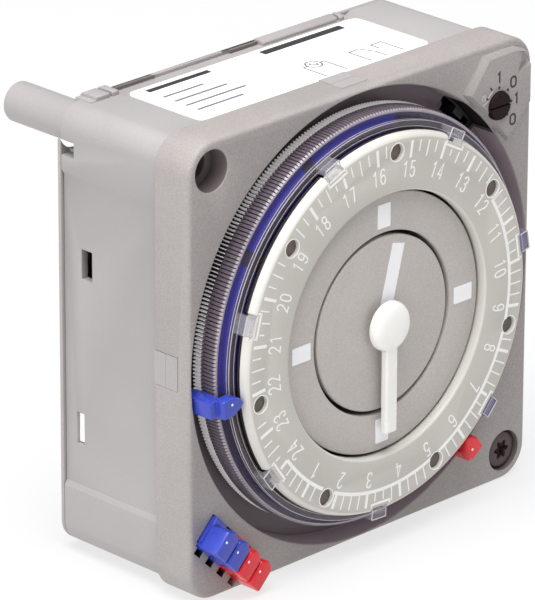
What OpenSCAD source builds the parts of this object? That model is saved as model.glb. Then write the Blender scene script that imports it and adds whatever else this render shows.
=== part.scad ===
// Flush-mounting programmable timer with a 24-hour programme dial.
//
// Frame: the front plate faces -Y, +X is to the right seen from the front and +Z is up.
// The origin is the centre of the flat rear cover's back face, on the dial's axis.
// "Depth" below is measured backwards from the front plate's face, so that
// y = depth - body_depth. A negative depth stands proud of the front plate.

/* [Case] */
// Width and height of the square front plate
plate_size = 72; // [70:0.5:76]
// Radius of the front plate's corners
plate_corner_r = 5; // [4:0.25:6]
// Depth from the front plate's face to the rear cover's back
body_depth = 29; // [28.5:0.5:34]
// Depth of the front plate's skirt
skirt_depth = 7.3; // [7.2:0.05:7.4]
// How far the housing stands in from the front plate on each side
body_inset = 1; // [0.8:0.1:1.4]
// Length of the screw tubes behind the rear cover
tube_length = 12; // [6:0.5:16]
// Offset of the two fixing screws from the dial's axis, in X and in Z
screw_offset = 31.4; // [31.2:0.1:31.6]

/* [Dial] */
// Radius of the round dish in the front plate
dish_r = 35.45; // [35.3:0.05:35.5]
// Depth of the dish
dish_depth = 4.6; // [4.5:0.05:4.7]
// Number of fine teeth round the programme ring: 48 half-hours by seven
ring_teeth = 336; // [168:48:336]
// Radius of the programme ring over its teeth
ring_r = 32.35; // [32:0.05:32.5]
// Outer radius of the numbered dial plate
dial_r = 29.7; // [29.4:0.1:29.8]
// Radius of the opening in the dial plate
dial_bore_r = 20.8; // [20.5:0.1:21]
// Outer radius of the fixed centre plate
centre_r = 20.4; // [20:0.1:20.6]
// Radius of the hour disc in the middle
hour_disc_r = 13.69; // [13:0.05:14]
// Angle of the 12 o'clock hour on the dial, anticlockwise from +X
noon_angle = 35.74; // [0:1:90]

/* [Riders] */
// Width of a switching rider along the ring
rider_w = 2.7; // [2.4:0.1:2.8]
// Pitch of the storage places in the lower left corner
storage_pitch = 3.23; // [3.1:0.05:3.4]

/* [Hidden] */
$fn = 96;

plate_half = plate_size / 2;
body_half = plate_half - body_inset;
body_corner_r = body_half - screw_offset;
skirt_wall = 1.4;
face_t = 2;
dish_wall = 1.3;
floor_t = 1.4;
floor_bore_r = 18.6;
body_wall = 1.8;
cavity_half = body_half - body_wall;
cavity_corner_r = 2;
cover_t = 1;
cover_depth = body_depth - cover_t;
panel_recess = 0.5;
panel_half = 24.6;
fit_gap = 0.15;

// Screws and their tubes
tube_r = 3.1;
tube_bore_r = 2.15;
tube_end = body_depth + tube_length;
counterbore_r = 3.25;
counterbore_depth = 3.6;
screw_head_r = 2.9;
screw_head_front = 0.8;
screw_neck_r = 1.6;
screw_thread_r = 1.95;
screw_end = tube_end + 6;
lobe_r = 1.55;
lobe_tip_r = 0.42;

// Snap windows in the housing's sides: [depth from, depth to, z from, z to]
WINDOWS = [[22, 24.2, 8.7, 13.4], [24, 25.5, -18, -12.9]];

// Programme disc, from front to back
dial_front = -5.35;
dial_back = -3.3;
dial_edge_r = 28.9;
ring_front = -1.45;
ring_split = 1.4;
ring_back = 3.15;
ring_root_r = ring_r - 0.4;
ring_inner_r = 31;
shoulder_r = 30.9;
shoulder_inner_r = 30;
shoulder_front = -3;
web_front = 1.95;
boss_r = 24;
boss_bore_r = 22;
band_outer_r = 29.95;
band_inner_r = 28.6;
band_front = -2.95;
band_back = -0.4;
// Hours at which the blue band starts and ends, with two short gaps
BAND_SPANS = [[15, 17.15], [17.45, 19.25], [19.55, 22]];
dial_hole_ring_r = 27.11;
dial_hole_r = 1.32;
dial_notch_w = 3.4;
dial_notch_depth = 0.9;

// Centre plate, hour disc and hand
centre_front = -4.05;
centre_back = -3.05;
centre_bore_r = 14.35;
sleeve_r = 15.9;
sleeve_bore_r = 14.6;
sleeve_gap = 0.08;
marker_ring_r = 17.1;
marker_w = 2.55;
marker_l = 3.8;
marker_t = 0.12;
hour_front = centre_front;
hour_back = -3;
pipe_r = 2.6;
pipe_bore_r = 1.58;
arbor_r = 1.5;
hand_hub_r = 3.9;
hand_hub_front = -6.9;
hand_front = -6.2;
hand_back = -5;
hand_w = 2.4;
hand_tip = 17;

// Movement: plates and gear layers, from front to back
movement_front = 8.3;
movement_back = 9.5;
day_layer = [9.9, 10.9];
hour_layer = [12.5, 13.5];
minute_layer = [13.9, 14.9];
drive_layer = [15.3, 16.3];
rear_plate_front = 16.8;
rear_plate_back = 18;
programme_layer = [6.3, 7.8];
movement_half = 30;
rear_plate_half_x = 29;
pillar_x = 25.5;
pillar_z = 22;
pillar_r = 1.8;
day_module = 0.5;
hour_module = 0.4;
minute_module = 0.5;
drive_module = 0.4;
programme_teeth = 80;
programme_pinion_teeth = 10;
day_teeth = 72;
day_pinion_teeth = 18;
hour_teeth = 48;
hour_pinion_teeth = 12;
minute_teeth = 36;
cannon_teeth = 12;
drive_teeth = 30;
day_distance = day_module * (programme_teeth + programme_pinion_teeth) / 2;
motion_distance = minute_module * (minute_teeth + cannon_teeth) / 2;
day_angle = -20;
motion_angle = 205;
drive_angle = 120;
day_arbor_r = 0.8;
stud_r = 0.9;
stud_gap = 0.07;
drive_shaft_r = 1;

// Selector in the upper right corner
selector_x = 28;
selector_z = 26.3;
knob_r = 2.2;
knob_gap = 0.08;
knob_front = -1.35;
knob_back = 1.2;
knob_shaft_r = 1.2;
knob_slot_w = 0.45;
knob_slot_depth = 0.6;
plateau_h = 0.8;
plateau_chamfer = 0.9;
cam_layer = [9.9, 11.4];
cam_r = 2.9;
detent_count = 8;

// Switching lever and switch
lever_pivot_x = 9.5;
lever_pivot_z = 29.2;
lever_pin_r = 0.9;
lever_layer = [6.4, 7.7];
lever_finger_angle = 46.5;
lever_finger_r = 34.5;
switch_front = movement_back;
switch_back = 15.3;
plunger_x = 16;
plunger_r = 0.7;
plunger_top = 28.6;

// Riders: a head that points inwards and an arm that grips the ring from outside
rider_arm_r = 35.1;
rider_arm_inner_r = 32.75;
rider_head_l = 5.1;
rider_tip_l = 1.9;
rider_head_t = 1.65;
rider_head_front = -4.9;
rider_arm_back = 2.4;
blue_rider_angle = -173.2;
red_rider_angle = -52.8;

// Storage pocket: four places side by side, u along the row and v towards the corner
storage_u0 = -4.5;
storage_v0 = 37.9;
storage_v1 = 42.7;
storage_depth = 5.6;
storage_comb = 1.6;
storage_comb_w = 1.6;
parked_head_front = -4.4;
parked_overhang = 0.6;
parked_body_l = 3.9;

// Electrics behind the rear movement plate
socket_w = 25;
socket_h = 9;
socket_z = -20;
socket_front = 17.9;
socket_wall = 1;
tab_count = 5;
tab_pitch = 4.6;
board_front = 19.1;
board_t = 1.2;
coil_l = 16;
coil_z = -5.5;
coil_depth = 23.4;
coil_core_r = 1.2;

// ---------------------------------------------------------------- helpers

// Raises an outline drawn as seen from the front, between two depths.
module layer(from, to) {
    translate([0, to - body_depth, 0])
        rotate([90, 0, 0])
            linear_extrude(to - from)
                children();
}

module round_bar(r, from, to) {
    translate([0, to - body_depth, 0])
        rotate([90, 0, 0])
            cylinder(r = r, h = to - from);
}

module at(x, z) {
    translate([x, 0, z])
        children();
}

// Turns about the dial's axis, anticlockwise seen from the front.
module turned(angle) {
    rotate([0, -angle, 0])
        children();
}

module block(x, z, depth) {
    translate([x[0], depth[0] - body_depth, z[0]])
        cube([x[1] - x[0], depth[1] - depth[0], z[1] - z[0]]);
}

module tube(r, bore, from, to) {
    difference() {
        round_bar(r, from, to);
        round_bar(bore, from - 1, to + 1);
    }
}

module rounded_rectangle(half_x, half_z, r) {
    square([2 * half_x, 2 * (half_z - r)], center = true);
    square([2 * (half_x - r), 2 * half_z], center = true);
    for (sx = [-1, 1], sz = [-1, 1])
        translate([sx * (half_x - r), sz * (half_z - r)])
            circle(r);
}

module rounded_square(half, r) {
    rounded_rectangle(half, half, r);
}

module at_both_screws() {
    for (s = [-1, 1])
        at(s * screw_offset, -s * screw_offset)
            children();
}

function polar(r, angle) = [r * cos(angle), r * sin(angle)];

// The angle of an hour on the dial: the numbers run anticlockwise.
function hour_angle(hour) = noon_angle + (hour - 12) * 15;

// One tooth is centred on the angle phase.
function gear_outline(teeth, mod, phase) =
    let (r = teeth * mod / 2, root = r - 1.15 * mod, tip = r + 0.8 * mod, p = 360 / teeth)
    [for (i = [0 : teeth - 1])
        let (a = phase + i * p)
        each [
            polar(root, a - 0.29 * p),
            polar(r, a - 0.2 * p),
            polar(tip, a - 0.09 * p),
            polar(tip, a + 0.09 * p),
            polar(r, a + 0.2 * p),
            polar(root, a + 0.29 * p)
        ]];

module gear(teeth, mod, phase, span, bore_r) {
    layer(span[0], span[1])
        difference() {
            polygon(gear_outline(teeth, mod, phase));
            circle(bore_r);
        }
}

// A fine saw-tooth rim: one crest and one valley for each tooth.
function rim_outline(tip_r, root_r) =
    [for (i = [0 : 2 * ring_teeth - 1])
        polar(i % 2 == 0 ? tip_r : root_r, i * 180 / ring_teeth)];

// Points along an arc, for outlines that follow a circle.
function arc(r, from, to, steps) =
    [for (i = [0 : steps]) polar(r, from + (to - from) * i / steps)];

module ring_sector(inner, outer, from, to) {
    difference() {
        intersection() {
            circle(outer);
            polygon(concat([[0, 0]], arc(outer + 3, from, to, 12)));
        }
        circle(inner);
    }
}

// Storage frame in the lower left corner: u runs down to the right, v runs to the corner.
module in_storage() {
    turned(225)
        children();
}

function storage_place(i) = storage_u0 + i * storage_pitch;

// ---------------------------------------------------------------- case

function plateau_outline(inset) =
    let (k = inset * 1.3)
    [
        [20.9 + k, 29.6 - inset * 0.4], [25.1 + k * 0.75, 34.8 - inset], [31.2, 35.1 - inset],
        [33.6 - inset * 0.3, 33.6 - inset * 0.3],
        [35.1 - inset, 31.2], [34.8 - inset, 25.1 + k * 0.75], [29.6 - inset * 0.4, 20.9 + k]
    ];

module selector_plateau() {
    hull() {
        layer(-0.01, 0.5)
            polygon(plateau_outline(0));
        layer(-plateau_h, 0.5)
            polygon(plateau_outline(plateau_chamfer));
    }
}

module storage_block(u, v, depth) {
    in_storage()
        block(v, u, depth);
}

module storage_cut() {
    u_first = storage_place(0) - storage_pitch / 2;
    u_last = storage_place(3) + storage_pitch / 2;
    storage_block([u_first, u_last], [storage_v0, storage_v1], [-1, storage_depth]);
    for (i = [0 : 3])
        storage_block(
            [storage_place(i) - storage_comb_w / 2, storage_place(i) + storage_comb_w / 2],
            [storage_v1 - 0.1, storage_v1 + storage_comb], [-1, 2.6]);
}

module front_plate() {
    color([0.60, 0.57, 0.56])
    difference() {
        union() {
            difference() {
                layer(0, skirt_depth)
                    rounded_square(plate_half, plate_corner_r);
                difference() {
                    layer(face_t, skirt_depth + 1)
                        rounded_square(plate_half - skirt_wall, plate_corner_r - skirt_wall);
                    round_bar(dish_r + dish_wall, 0, dish_depth + floor_t);
                    at_both_screws()
                        round_bar(counterbore_r + 1, 0, skirt_depth - 1.2);
                    storage_block([-7.4, 7.9], [storage_v0 - 1.2, storage_v1 + 2.6], [0, 6.1]);
                }
            }
            selector_plateau();
            // Tongue of the skirt over the housing's top
            block([-0.2, 6], [body_half + fit_gap, plate_half], [skirt_depth - 2, skirt_depth + 2]);
        }
        round_bar(dish_r, -2, dish_depth);
        round_bar(floor_bore_r, 0, skirt_depth);
        at_both_screws() {
            round_bar(counterbore_r, -1, counterbore_depth);
            round_bar(tube_bore_r, 0, skirt_depth + 1);
        }
        at(selector_x, selector_z) {
            round_bar(knob_r + knob_gap, -2, knob_back + 0.1);
            round_bar(knob_shaft_r + knob_gap, 0, skirt_depth);
        }
        // Dark window in the dish's wall for the switching lever
        layer(0.7, dish_depth)
            ring_sector(dish_r - 1, dish_r + dish_wall + 1, 46, 58);
        layer(dish_depth - 0.5, skirt_depth)
            ring_sector(33.1, 35.6, 43, 50.5);
        storage_cut();
    }
}

module snap_windows(side) {
    for (w = WINDOWS)
        block([side * body_half - 3, side * body_half + 3], [w[2], w[3]], [w[0], w[1]]);
}

module housing() {
    color([0.76, 0.74, 0.73])
    difference() {
        union() {
            difference() {
                union() {
                    layer(skirt_depth, cover_depth)
                        rounded_square(body_half, body_corner_r);
                    layer(skirt_depth - 1, skirt_depth + 1)
                        rounded_square(plate_half - skirt_wall - fit_gap, plate_corner_r - skirt_wall);
                }
                layer(skirt_depth - 2, cover_depth + 1)
                    rounded_square(cavity_half, cavity_corner_r);
                // Shallow panels in the four sides
                for (a = [0, 90, 180, 270])
                    turned(a)
                        block([body_half - panel_recess, body_half + 1],
                            [-panel_half, panel_half], [skirt_depth + 0.01, cover_depth + 1]);
            }
            at_both_screws()
                round_bar(tube_r, skirt_depth, tube_end);
        }
        at_both_screws()
            round_bar(tube_bore_r, 0, tube_end + 1);
        snap_windows(-1);
        snap_windows(1);
        // Small latch notch below the tube
        block([-body_half - 1, -body_half + 2.4], [27.4, 29.9], [25.2, cover_depth + 1]);
    }
}

module rear_cover() {
    color([0.76, 0.74, 0.73]) {
        difference() {
            union() {
                layer(cover_depth, body_depth)
                    rounded_square(body_half, body_corner_r);
                // Locating rim inside the housing
                layer(cover_depth - 1.6, cover_depth)
                    rounded_square(cavity_half - fit_gap, cavity_corner_r);
                // Wall of the plug socket
                block([-socket_w / 2 - socket_wall, socket_w / 2 + socket_wall],
                    [socket_z - socket_h / 2 - socket_wall, socket_z + socket_h / 2 + socket_wall],
                    [socket_front, cover_depth]);
                // Snap arms on both sides
                for (s = [-1, 1], w = WINDOWS)
                    snap_arm(s, w);
            }
            layer(cover_depth - 2, cover_depth)
                difference() {
                    rounded_square(cavity_half - 1.4, 1.2);
                    translate([0, socket_z])
                        square([socket_w + 2 * socket_wall, socket_h + 2 * socket_wall], center = true);
                    for (s = [-1, 1], w = WINDOWS)
                        translate([s * (cavity_half - 1.2), (w[2] + w[3]) / 2])
                            square([2.4, w[3] - w[2]], center = true);
                }
            block([-socket_w / 2, socket_w / 2],
                [socket_z - socket_h / 2, socket_z + socket_h / 2], [socket_front - 1, body_depth + 1]);
            at_both_screws()
                round_bar(body_corner_r + 0.3, cover_depth - 3, body_depth + 1);
            // Two slots for a screwdriver along the top edge
            for (x = [-20.3, 2.2])
                block([x - 4, x + 4], [body_half - 1, body_half + 1], [cover_depth - 0.1, body_depth - 0.5]);
        }
    }
}

module snap_arm(side, window) {
    inner = cavity_half - fit_gap - 1;
    x0 = side > 0 ? inner : -inner - 1;
    block([x0, x0 + 1], [window[2] + 0.4, window[3] - 0.4], [window[0] + 0.2, cover_depth - 0.5]);
    hook = side > 0 ? x0 + 0.9 : x0 - 0.8;
    block([hook, hook + 0.9], [window[2] + 0.4, window[3] - 0.4], [window[0] + 0.2, window[1] - 0.2]);
}

module label() {
    top = body_half - panel_recess;
    color("white")
    translate([0, 0, top])
        linear_extrude(0.15)
            translate([0, (9.5 + 25.6) / 2 - body_depth])
                rounded_rectangle(24.1, (25.6 - 9.5) / 2, 1.6);
}

module fixing_screw() {
    color([0.2, 0.17, 0.17])
    at(screw_offset, -screw_offset)
        difference() {
            union() {
                round_bar(screw_head_r, screw_head_front, counterbore_depth - 0.02);
                round_bar(screw_neck_r, counterbore_depth - 0.5, tube_end + 0.1);
                round_bar(screw_thread_r, tube_end, screw_end);
            }
            layer(screw_head_front - 1, screw_head_front + 1.7)
                union() {
                    circle(lobe_r);
                    for (a = [0 : 60 : 300])
                        rotate(a)
                            translate([lobe_r, 0])
                                circle(lobe_tip_r);
                }
        }
}

// ---------------------------------------------------------------- dial centre

module centre_plate() {
    color([0.72, 0.70, 0.68]) {
        tube(centre_r, centre_bore_r, centre_front, centre_back);
        tube(sleeve_r, sleeve_bore_r, centre_back - 0.01, movement_front);
    }
}

module hour_markers() {
    color([0.88, 0.88, 0.93])
    for (a = [0, 90, 180, 270])
        turned(a)
            block([marker_ring_r - marker_l / 2, marker_ring_r + marker_l / 2],
                [-marker_w / 2, marker_w / 2], [centre_front - marker_t, centre_front]);
}

module hour_disc() {
    color([0.72, 0.70, 0.68])
    difference() {
        union() {
            round_bar(hour_disc_r, hour_front, hour_back);
            round_bar(pipe_r, hour_back - 0.5, hour_layer[1]);
        }
        round_bar(pipe_bore_r, hour_front - 1, hour_layer[1] + 1);
    }
}

module hour_wheel() {
    color([0.93, 0.91, 0.85])
    gear(hour_teeth, hour_module, motion_angle, hour_layer, pipe_r);
}

module day_wheel() {
    color([0.93, 0.91, 0.85])
    gear(day_teeth, day_module, day_angle, day_layer, pipe_r);
}

module minute_hand() {
    color("white")
    difference() {
        union() {
            round_bar(hand_hub_r, hand_hub_front, hand_back);
            block([-hand_w / 2, hand_w / 2], [-hand_tip + hand_w / 2, 0], [hand_front, hand_back]);
            at(0, -hand_tip + hand_w / 2)
                round_bar(hand_w / 2, hand_front, hand_back);
        }
        round_bar(1, hand_hub_front + 0.8, hand_back + 1);
    }
}

module minute_arbor() {
    color([0.8, 0.8, 0.82]) {
        round_bar(0.95, hand_hub_front + 0.9, hand_back + 0.3);
        round_bar(arbor_r, hand_back + 0.1, drive_layer[1]);
        round_bar(0.8, drive_layer[1] - 0.1, rear_plate_back - 0.2);
    }
}

module cannon_pinion() {
    color([0.85, 0.72, 0.4])
    gear(cannon_teeth, minute_module, motion_angle, minute_layer, arbor_r);
}

module centre_wheel() {
    color([0.93, 0.91, 0.85])
    gear(drive_teeth, drive_module, drive_angle, drive_layer, arbor_r);
}

// ---------------------------------------------------------------- programme disc

module programme_ring() {
    color([0.62, 0.6, 0.66, 0.6]) {
        layer(ring_front, ring_split)
            difference() {
                polygon(rim_outline(ring_r, ring_root_r));
                circle(ring_inner_r);
            }
        tube(ring_inner_r + 0.4, shoulder_inner_r, ring_front, web_front);
        tube(shoulder_r, shoulder_inner_r, shoulder_front, ring_front + 0.1);
    }
}

module rear_tooth_ring() {
    color([0.75, 0.73, 0.74])
    difference() {
        union() {
            layer(ring_split + 0.02, ring_back)
                polygon(rim_outline(ring_r, ring_root_r));
        }
        round_bar(ring_inner_r + 0.42, 0, web_front + 0.02);
        round_bar(17.02, 0, ring_back + 1);
    }
}

module blue_band() {
    color([0.15, 0.15, 0.6])
    layer(band_front, band_back)
        for (span = BAND_SPANS)
            ring_sector(band_inner_r, band_outer_r, hour_angle(span[0]), hour_angle(span[1]));
}

module dial_plate() {
    color([0.76, 0.74, 0.71]) {
        difference() {
            union() {
                translate([0, -body_depth, 0])
                    rotate([90, 0, 0])
                        rotate_extrude()
                            polygon([
                                [dial_bore_r, -dial_back], [dial_r, -dial_back],
                                [dial_r, -dial_front - 0.55], [dial_edge_r, -dial_front],
                                [dial_bore_r, -dial_front]
                            ]);
                tube(boss_r, boss_bore_r, dial_back - 0.01, web_front - 0.01);
            }
            for (k = [0 : 6])
                turned(hour_angle(12 + k * 24 / 7)) {
                    at(dial_hole_ring_r, 0)
                        round_bar(dial_hole_r, dial_front - 1, dial_back + 1);
                    turned(180 / 7)
                        block([dial_r - dial_notch_depth, dial_r + 1],
                            [-dial_notch_w / 2, dial_notch_w / 2], [dial_front - 1, dial_back + 1]);
                }
        }
    }
}

module programme_gear() {
    color([0.93, 0.91, 0.85]) {
        tube(17, sleeve_r + sleeve_gap, web_front, programme_layer[0] + 0.01);
        gear(programme_teeth, day_module, day_angle, programme_layer, sleeve_r + sleeve_gap);
    }
}

// ---------------------------------------------------------------- gear train

module at_motion() {
    at(motion_distance * cos(motion_angle), motion_distance * sin(motion_angle))
        children();
}

module at_day() {
    at(day_distance * cos(day_angle), day_distance * sin(day_angle))
        children();
}

module at_drive() {
    at(motion_distance * cos(drive_angle), motion_distance * sin(drive_angle))
        children();
}

// The partner's tooth lies on the line of centres, so this gear has a gap there.
function facing(angle, teeth) = angle + 180 + 180 / teeth;

module minute_wheel() {
    color([0.93, 0.91, 0.85])
    at_motion()
        gear(minute_teeth, minute_module, facing(motion_angle, minute_teeth), minute_layer,
            stud_r + stud_gap);
}

module minute_wheel_pinion() {
    color([0.93, 0.91, 0.85])
    at_motion()
        gear(hour_pinion_teeth, hour_module, facing(motion_angle, hour_pinion_teeth),
            [hour_layer[0], minute_layer[0]], stud_r + stud_gap);
}

module minute_stud() {
    color([0.8, 0.8, 0.82])
    at_motion() {
        round_bar(stud_r, hour_layer[0] - 0.6, rear_plate_front + 0.4);
        round_bar(stud_r + 0.5, drive_layer[0], rear_plate_front);
    }
}

module day_arbor() {
    color([0.8, 0.8, 0.82])
    at_day()
        round_bar(day_arbor_r, programme_layer[0] - 0.1, rear_plate_back - 0.2);
}

module day_pinion() {
    color([0.93, 0.91, 0.85])
    at_day()
        gear(day_pinion_teeth, day_module, facing(day_angle, day_pinion_teeth), day_layer, day_arbor_r);
}

module programme_pinion() {
    color([0.85, 0.72, 0.4])
    at_day()
        gear(programme_pinion_teeth, day_module, facing(day_angle, programme_pinion_teeth),
            programme_layer, day_arbor_r);
}

module drive_wheel() {
    color([0.93, 0.91, 0.85])
    at_drive()
        gear(drive_teeth, drive_module, facing(drive_angle, drive_teeth), drive_layer, drive_shaft_r);
}

module drive_shaft() {
    color([0.8, 0.8, 0.82])
    at_drive()
        round_bar(drive_shaft_r, drive_layer[0], rear_plate_back + 0.8);
}

// ---------------------------------------------------------------- movement frame

module at_pillars() {
    for (sx = [-1, 1], sz = [-1, 1])
        at(sx * pillar_x, sz * pillar_z)
            children();
}

module movement_plate() {
    color([0.35, 0.35, 0.37])
    difference() {
        layer(movement_front, movement_back)
            rounded_square(movement_half, 4);
        round_bar(pipe_r + sleeve_gap, movement_front - 1, movement_back + 1);
        at_day()
            round_bar(day_arbor_r + sleeve_gap, movement_front - 1, movement_back + 1);
        at_both_screws()
            round_bar(tube_r + 0.4, movement_front - 1, movement_back + 1);
        at(selector_x, selector_z)
            round_bar(knob_shaft_r + 0.3, movement_front - 1, movement_back + 1);
        at_pillars()
            round_bar(1, movement_front - 1, movement_back + 1);
        // Clearance round the lever's tab
        block([14.2, 17.8], [27.2, 31], [movement_front - 1, movement_back + 1]);
    }
}

module rear_movement_plate() {
    color([0.35, 0.35, 0.37])
    difference() {
        layer(rear_plate_front, rear_plate_back)
            difference() {
                rounded_rectangle(rear_plate_half_x, 26, 4);
                translate([0, -26])
                    square([socket_w + 4, 23.6], center = true);
            }
        round_bar(0.88, rear_plate_front - 1, rear_plate_back + 1);
        at_day()
            round_bar(day_arbor_r + sleeve_gap, rear_plate_front - 1, rear_plate_back + 1);
        at_motion()
            round_bar(stud_r, rear_plate_front - 1, rear_plate_front + 0.4);
        at_drive()
            round_bar(2.2, rear_plate_front - 1, rear_plate_back + 1);
        at_pillars()
            round_bar(1, rear_plate_front - 1, rear_plate_back + 1);
        at_both_screws()
            round_bar(tube_r + 0.4, rear_plate_front - 1, rear_plate_back + 1);
    }
}

module pillars() {
    color([0.8, 0.8, 0.82])
    at_pillars() {
        round_bar(pillar_r, movement_back, rear_plate_front);
        round_bar(0.98, movement_front + 0.2, movement_back);
    }
}

module movement_screws() {
    color([0.8, 0.8, 0.82])
    at_pillars()
        difference() {
            union() {
                round_bar(1.8, rear_plate_back, rear_plate_back + 1.1);
                round_bar(0.95, rear_plate_front, rear_plate_back);
            }
            block([-3, 3], [-0.25, 0.25], [rear_plate_back + 0.6, rear_plate_back + 2]);
        }
}

module gearbox_case() {
    color([0.2, 0.2, 0.22])
    difference() {
        at_drive()
            layer(rear_plate_back, 24)
                rounded_rectangle(7.5, 6.5, 1.5);
        at_drive()
            round_bar(drive_shaft_r + sleeve_gap, rear_plate_back - 1, rear_plate_back + 0.9);
    }
}

module motor_stator() {
    color([0.65, 0.65, 0.68]) {
        block([-28.3, -8.7], [coil_z - 2, coil_z + 2], [rear_plate_back, rear_plate_back + 1.6]);
        for (x = [-28.3, -10.3])
            block([x, x + 1.6], [coil_z - 2, coil_z + 2], [rear_plate_back, coil_depth + 2]);
        translate([-28, coil_depth - body_depth, coil_z])
            rotate([0, 90, 0])
                cylinder(r = coil_core_r, h = 19);
    }
}

module motor_coil() {
    color([0.75, 0.42, 0.2])
    translate([-26.5, coil_depth - body_depth, coil_z])
        rotate([0, 90, 0])
            difference() {
                union() {
                    cylinder(r = 2.8, h = coil_l);
                    for (x = [0, coil_l - 1])
                        translate([0, 0, x])
                            cylinder(r = 3.4, h = 1);
                }
                translate([0, 0, -1])
                    cylinder(r = coil_core_r + 0.05, h = coil_l + 2);
            }
}

module circuit_board() {
    color([0.15, 0.4, 0.25])
    block([2.5, 32], [-13, 25], [board_front, board_front + board_t]);
}

module backup_battery() {
    color([0.75, 0.76, 0.78])
    at(12, 14.5)
        round_bar(6.2, board_front + board_t + 0.3, board_front + board_t + 5);
}

module battery_clip() {
    color([0.8, 0.8, 0.82]) {
        block([5, 19], [13, 16], [board_front + board_t + 5, board_front + board_t + 5.3]);
        block([5, 5.5], [13, 16], [board_front + board_t, board_front + board_t + 5.1]);
        block([18.5, 19], [13, 16], [board_front + board_t, board_front + board_t + 5.1]);
    }
}

module quartz_crystal() {
    color([0.8, 0.8, 0.82])
    translate([22, board_front + board_t + 1.1 - body_depth, -4])
        cylinder(r = 1, h = 6);
}

module driver_chip() {
    color([0.1, 0.1, 0.1])
    block([7, 16], [-5, 0], [board_front + board_t, board_front + board_t + 1.6]);
}

module capacitor() {
    color([0.1, 0.12, 0.3])
    at(27, 6)
        round_bar(2.5, board_front + board_t, board_front + board_t + 5.2);
}

module socket_insulator() {
    color([0.15, 0.15, 0.16])
    difference() {
        block([-socket_w / 2 + 0.05, socket_w / 2 - 0.05],
            [socket_z - socket_h / 2 + 0.05, socket_z + socket_h / 2 - 0.05],
            [socket_front, socket_front + 1.5]);
        tab_rows(0);
    }
}

module tab_rows(gap) {
    for (i = [0 : tab_count - 1])
        let (x = (i - (tab_count - 1) / 2) * tab_pitch)
            block([x - 0.4 - gap, x + 0.4 + gap], [socket_z - 1.4 - gap, socket_z + 1.4 + gap],
                [socket_front - 1.4, socket_front + 6.2]);
}

module contact_tabs() {
    color([0.85, 0.84, 0.78])
    tab_rows(-0.01);
}

module microswitch_case() {
    color([0.12, 0.12, 0.13])
    difference() {
        block([9.5, 22.3], [21.5, 28], [switch_front, switch_back]);
        at_plunger(26.5)
            cylinder(r = plunger_r + sleeve_gap, h = 3);
    }
}

module microswitch_terminals() {
    color([0.85, 0.72, 0.4])
    for (x = [10.8, 15.9, 21])
        block([x - 0.3, x + 0.3], [18.7, 21.5], [switch_front + 2, switch_front + 4]);
}

module at_plunger(z) {
    translate([plunger_x, switch_front + 2.2 - body_depth, z])
        children();
}

module lever_pin() {
    color([0.8, 0.8, 0.82])
    at(lever_pivot_x, lever_pivot_z)
        round_bar(lever_pin_r, lever_layer[0] - 0.2, movement_front);
}

module lever_spring() {
    color([0.8, 0.8, 0.82])
    block([3.2, 8.2], [26.6, 26.9], [lever_layer[0] + 0.2, movement_front]);
}

module selector_spring() {
    color([0.8, 0.8, 0.82])
    block([21, 28.2], [29.2, 29.45], [movement_back, cam_layer[1]]);
}

// ---------------------------------------------------------------- controls

module selector_knob() {
    color([0.2, 0.17, 0.17])
    at(selector_x, selector_z)
        difference() {
            union() {
                round_bar(knob_r, knob_front, knob_back);
                round_bar(knob_shaft_r, knob_back - 0.5, cam_layer[1]);
            }
            block([-knob_r - 1, knob_r + 1], [-knob_slot_w / 2, knob_slot_w / 2],
                [knob_front - 1, knob_front + knob_slot_depth]);
        }
}

module selector_cam() {
    color([0.85, 0.83, 0.78])
    at(selector_x, selector_z)
        layer(cam_layer[0], cam_layer[1])
            difference() {
                circle(cam_r - 0.35);
                circle(knob_shaft_r);
                for (i = [0 : detent_count - 1])
                    rotate(i * 360 / detent_count)
                        translate([cam_r - 0.1, 0])
                            circle(0.5);
            }
}

module switch_lever() {
    tip = polar(lever_finger_r, lever_finger_angle);
    color([0.12, 0.1, 0.11]) {
        difference() {
            layer(lever_layer[0], lever_layer[1])
                union() {
                    polygon([
                        [lever_pivot_x, lever_pivot_z + 1.9], [15.4, 29.7], [16.8, 29.4],
                        [tip[0] - 0.4, tip[1] + 0.9], [tip[0] + 0.5, tip[1] - 0.6],
                        [lever_pivot_x, lever_pivot_z - 1.2]
                    ]);
                    translate([lever_pivot_x, lever_pivot_z])
                        circle(2);
                }
            at(lever_pivot_x, lever_pivot_z)
                round_bar(lever_pin_r + sleeve_gap, lever_layer[0] - 1, lever_layer[1] + 1);
        }
        // Finger that stands forward through the dish's floor
        turned(lever_finger_angle)
            block([lever_finger_r - 0.5, lever_finger_r + 0.5], [-1.2, 1.2],
                [dish_depth - 1, lever_layer[0] + 0.5]);
        // Tab that reaches back to the plunger
        block([plunger_x - 0.6, plunger_x + 0.6], [plunger_top + 0.15, plunger_top + 0.8],
            [lever_layer[0] + 0.1, switch_front + 3.2]);
    }
}

module switch_plunger() {
    color([0.8, 0.2, 0.2])
    at_plunger(plunger_top - 1.4)
        cylinder(r = plunger_r, h = 1.4);
}

// ---------------------------------------------------------------- riders

// The head seen from the front: local X is outwards and the tip points inwards.
module rider_head(outer, front) {
    w = rider_w / 2 + 0.2;
    layer(front, front + rider_head_t)
        polygon([
            [outer - rider_head_l, 0], [outer - rider_head_l + 0.7, w * 0.5],
            [outer - rider_head_l + rider_tip_l, w], [outer, w], [outer, -w],
            [outer - rider_head_l + rider_tip_l, -w], [outer - rider_head_l + 0.7, -w * 0.5]
        ]);
}

module ring_rider(angle, shade) {
    color(shade)
    turned(angle) {
        rider_head(rider_arm_r, rider_head_front);
        block([rider_arm_inner_r, rider_arm_r], [-rider_w / 2, rider_w / 2],
            [rider_head_front + rider_head_t - 0.2, rider_arm_back]);
    }
}

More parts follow.
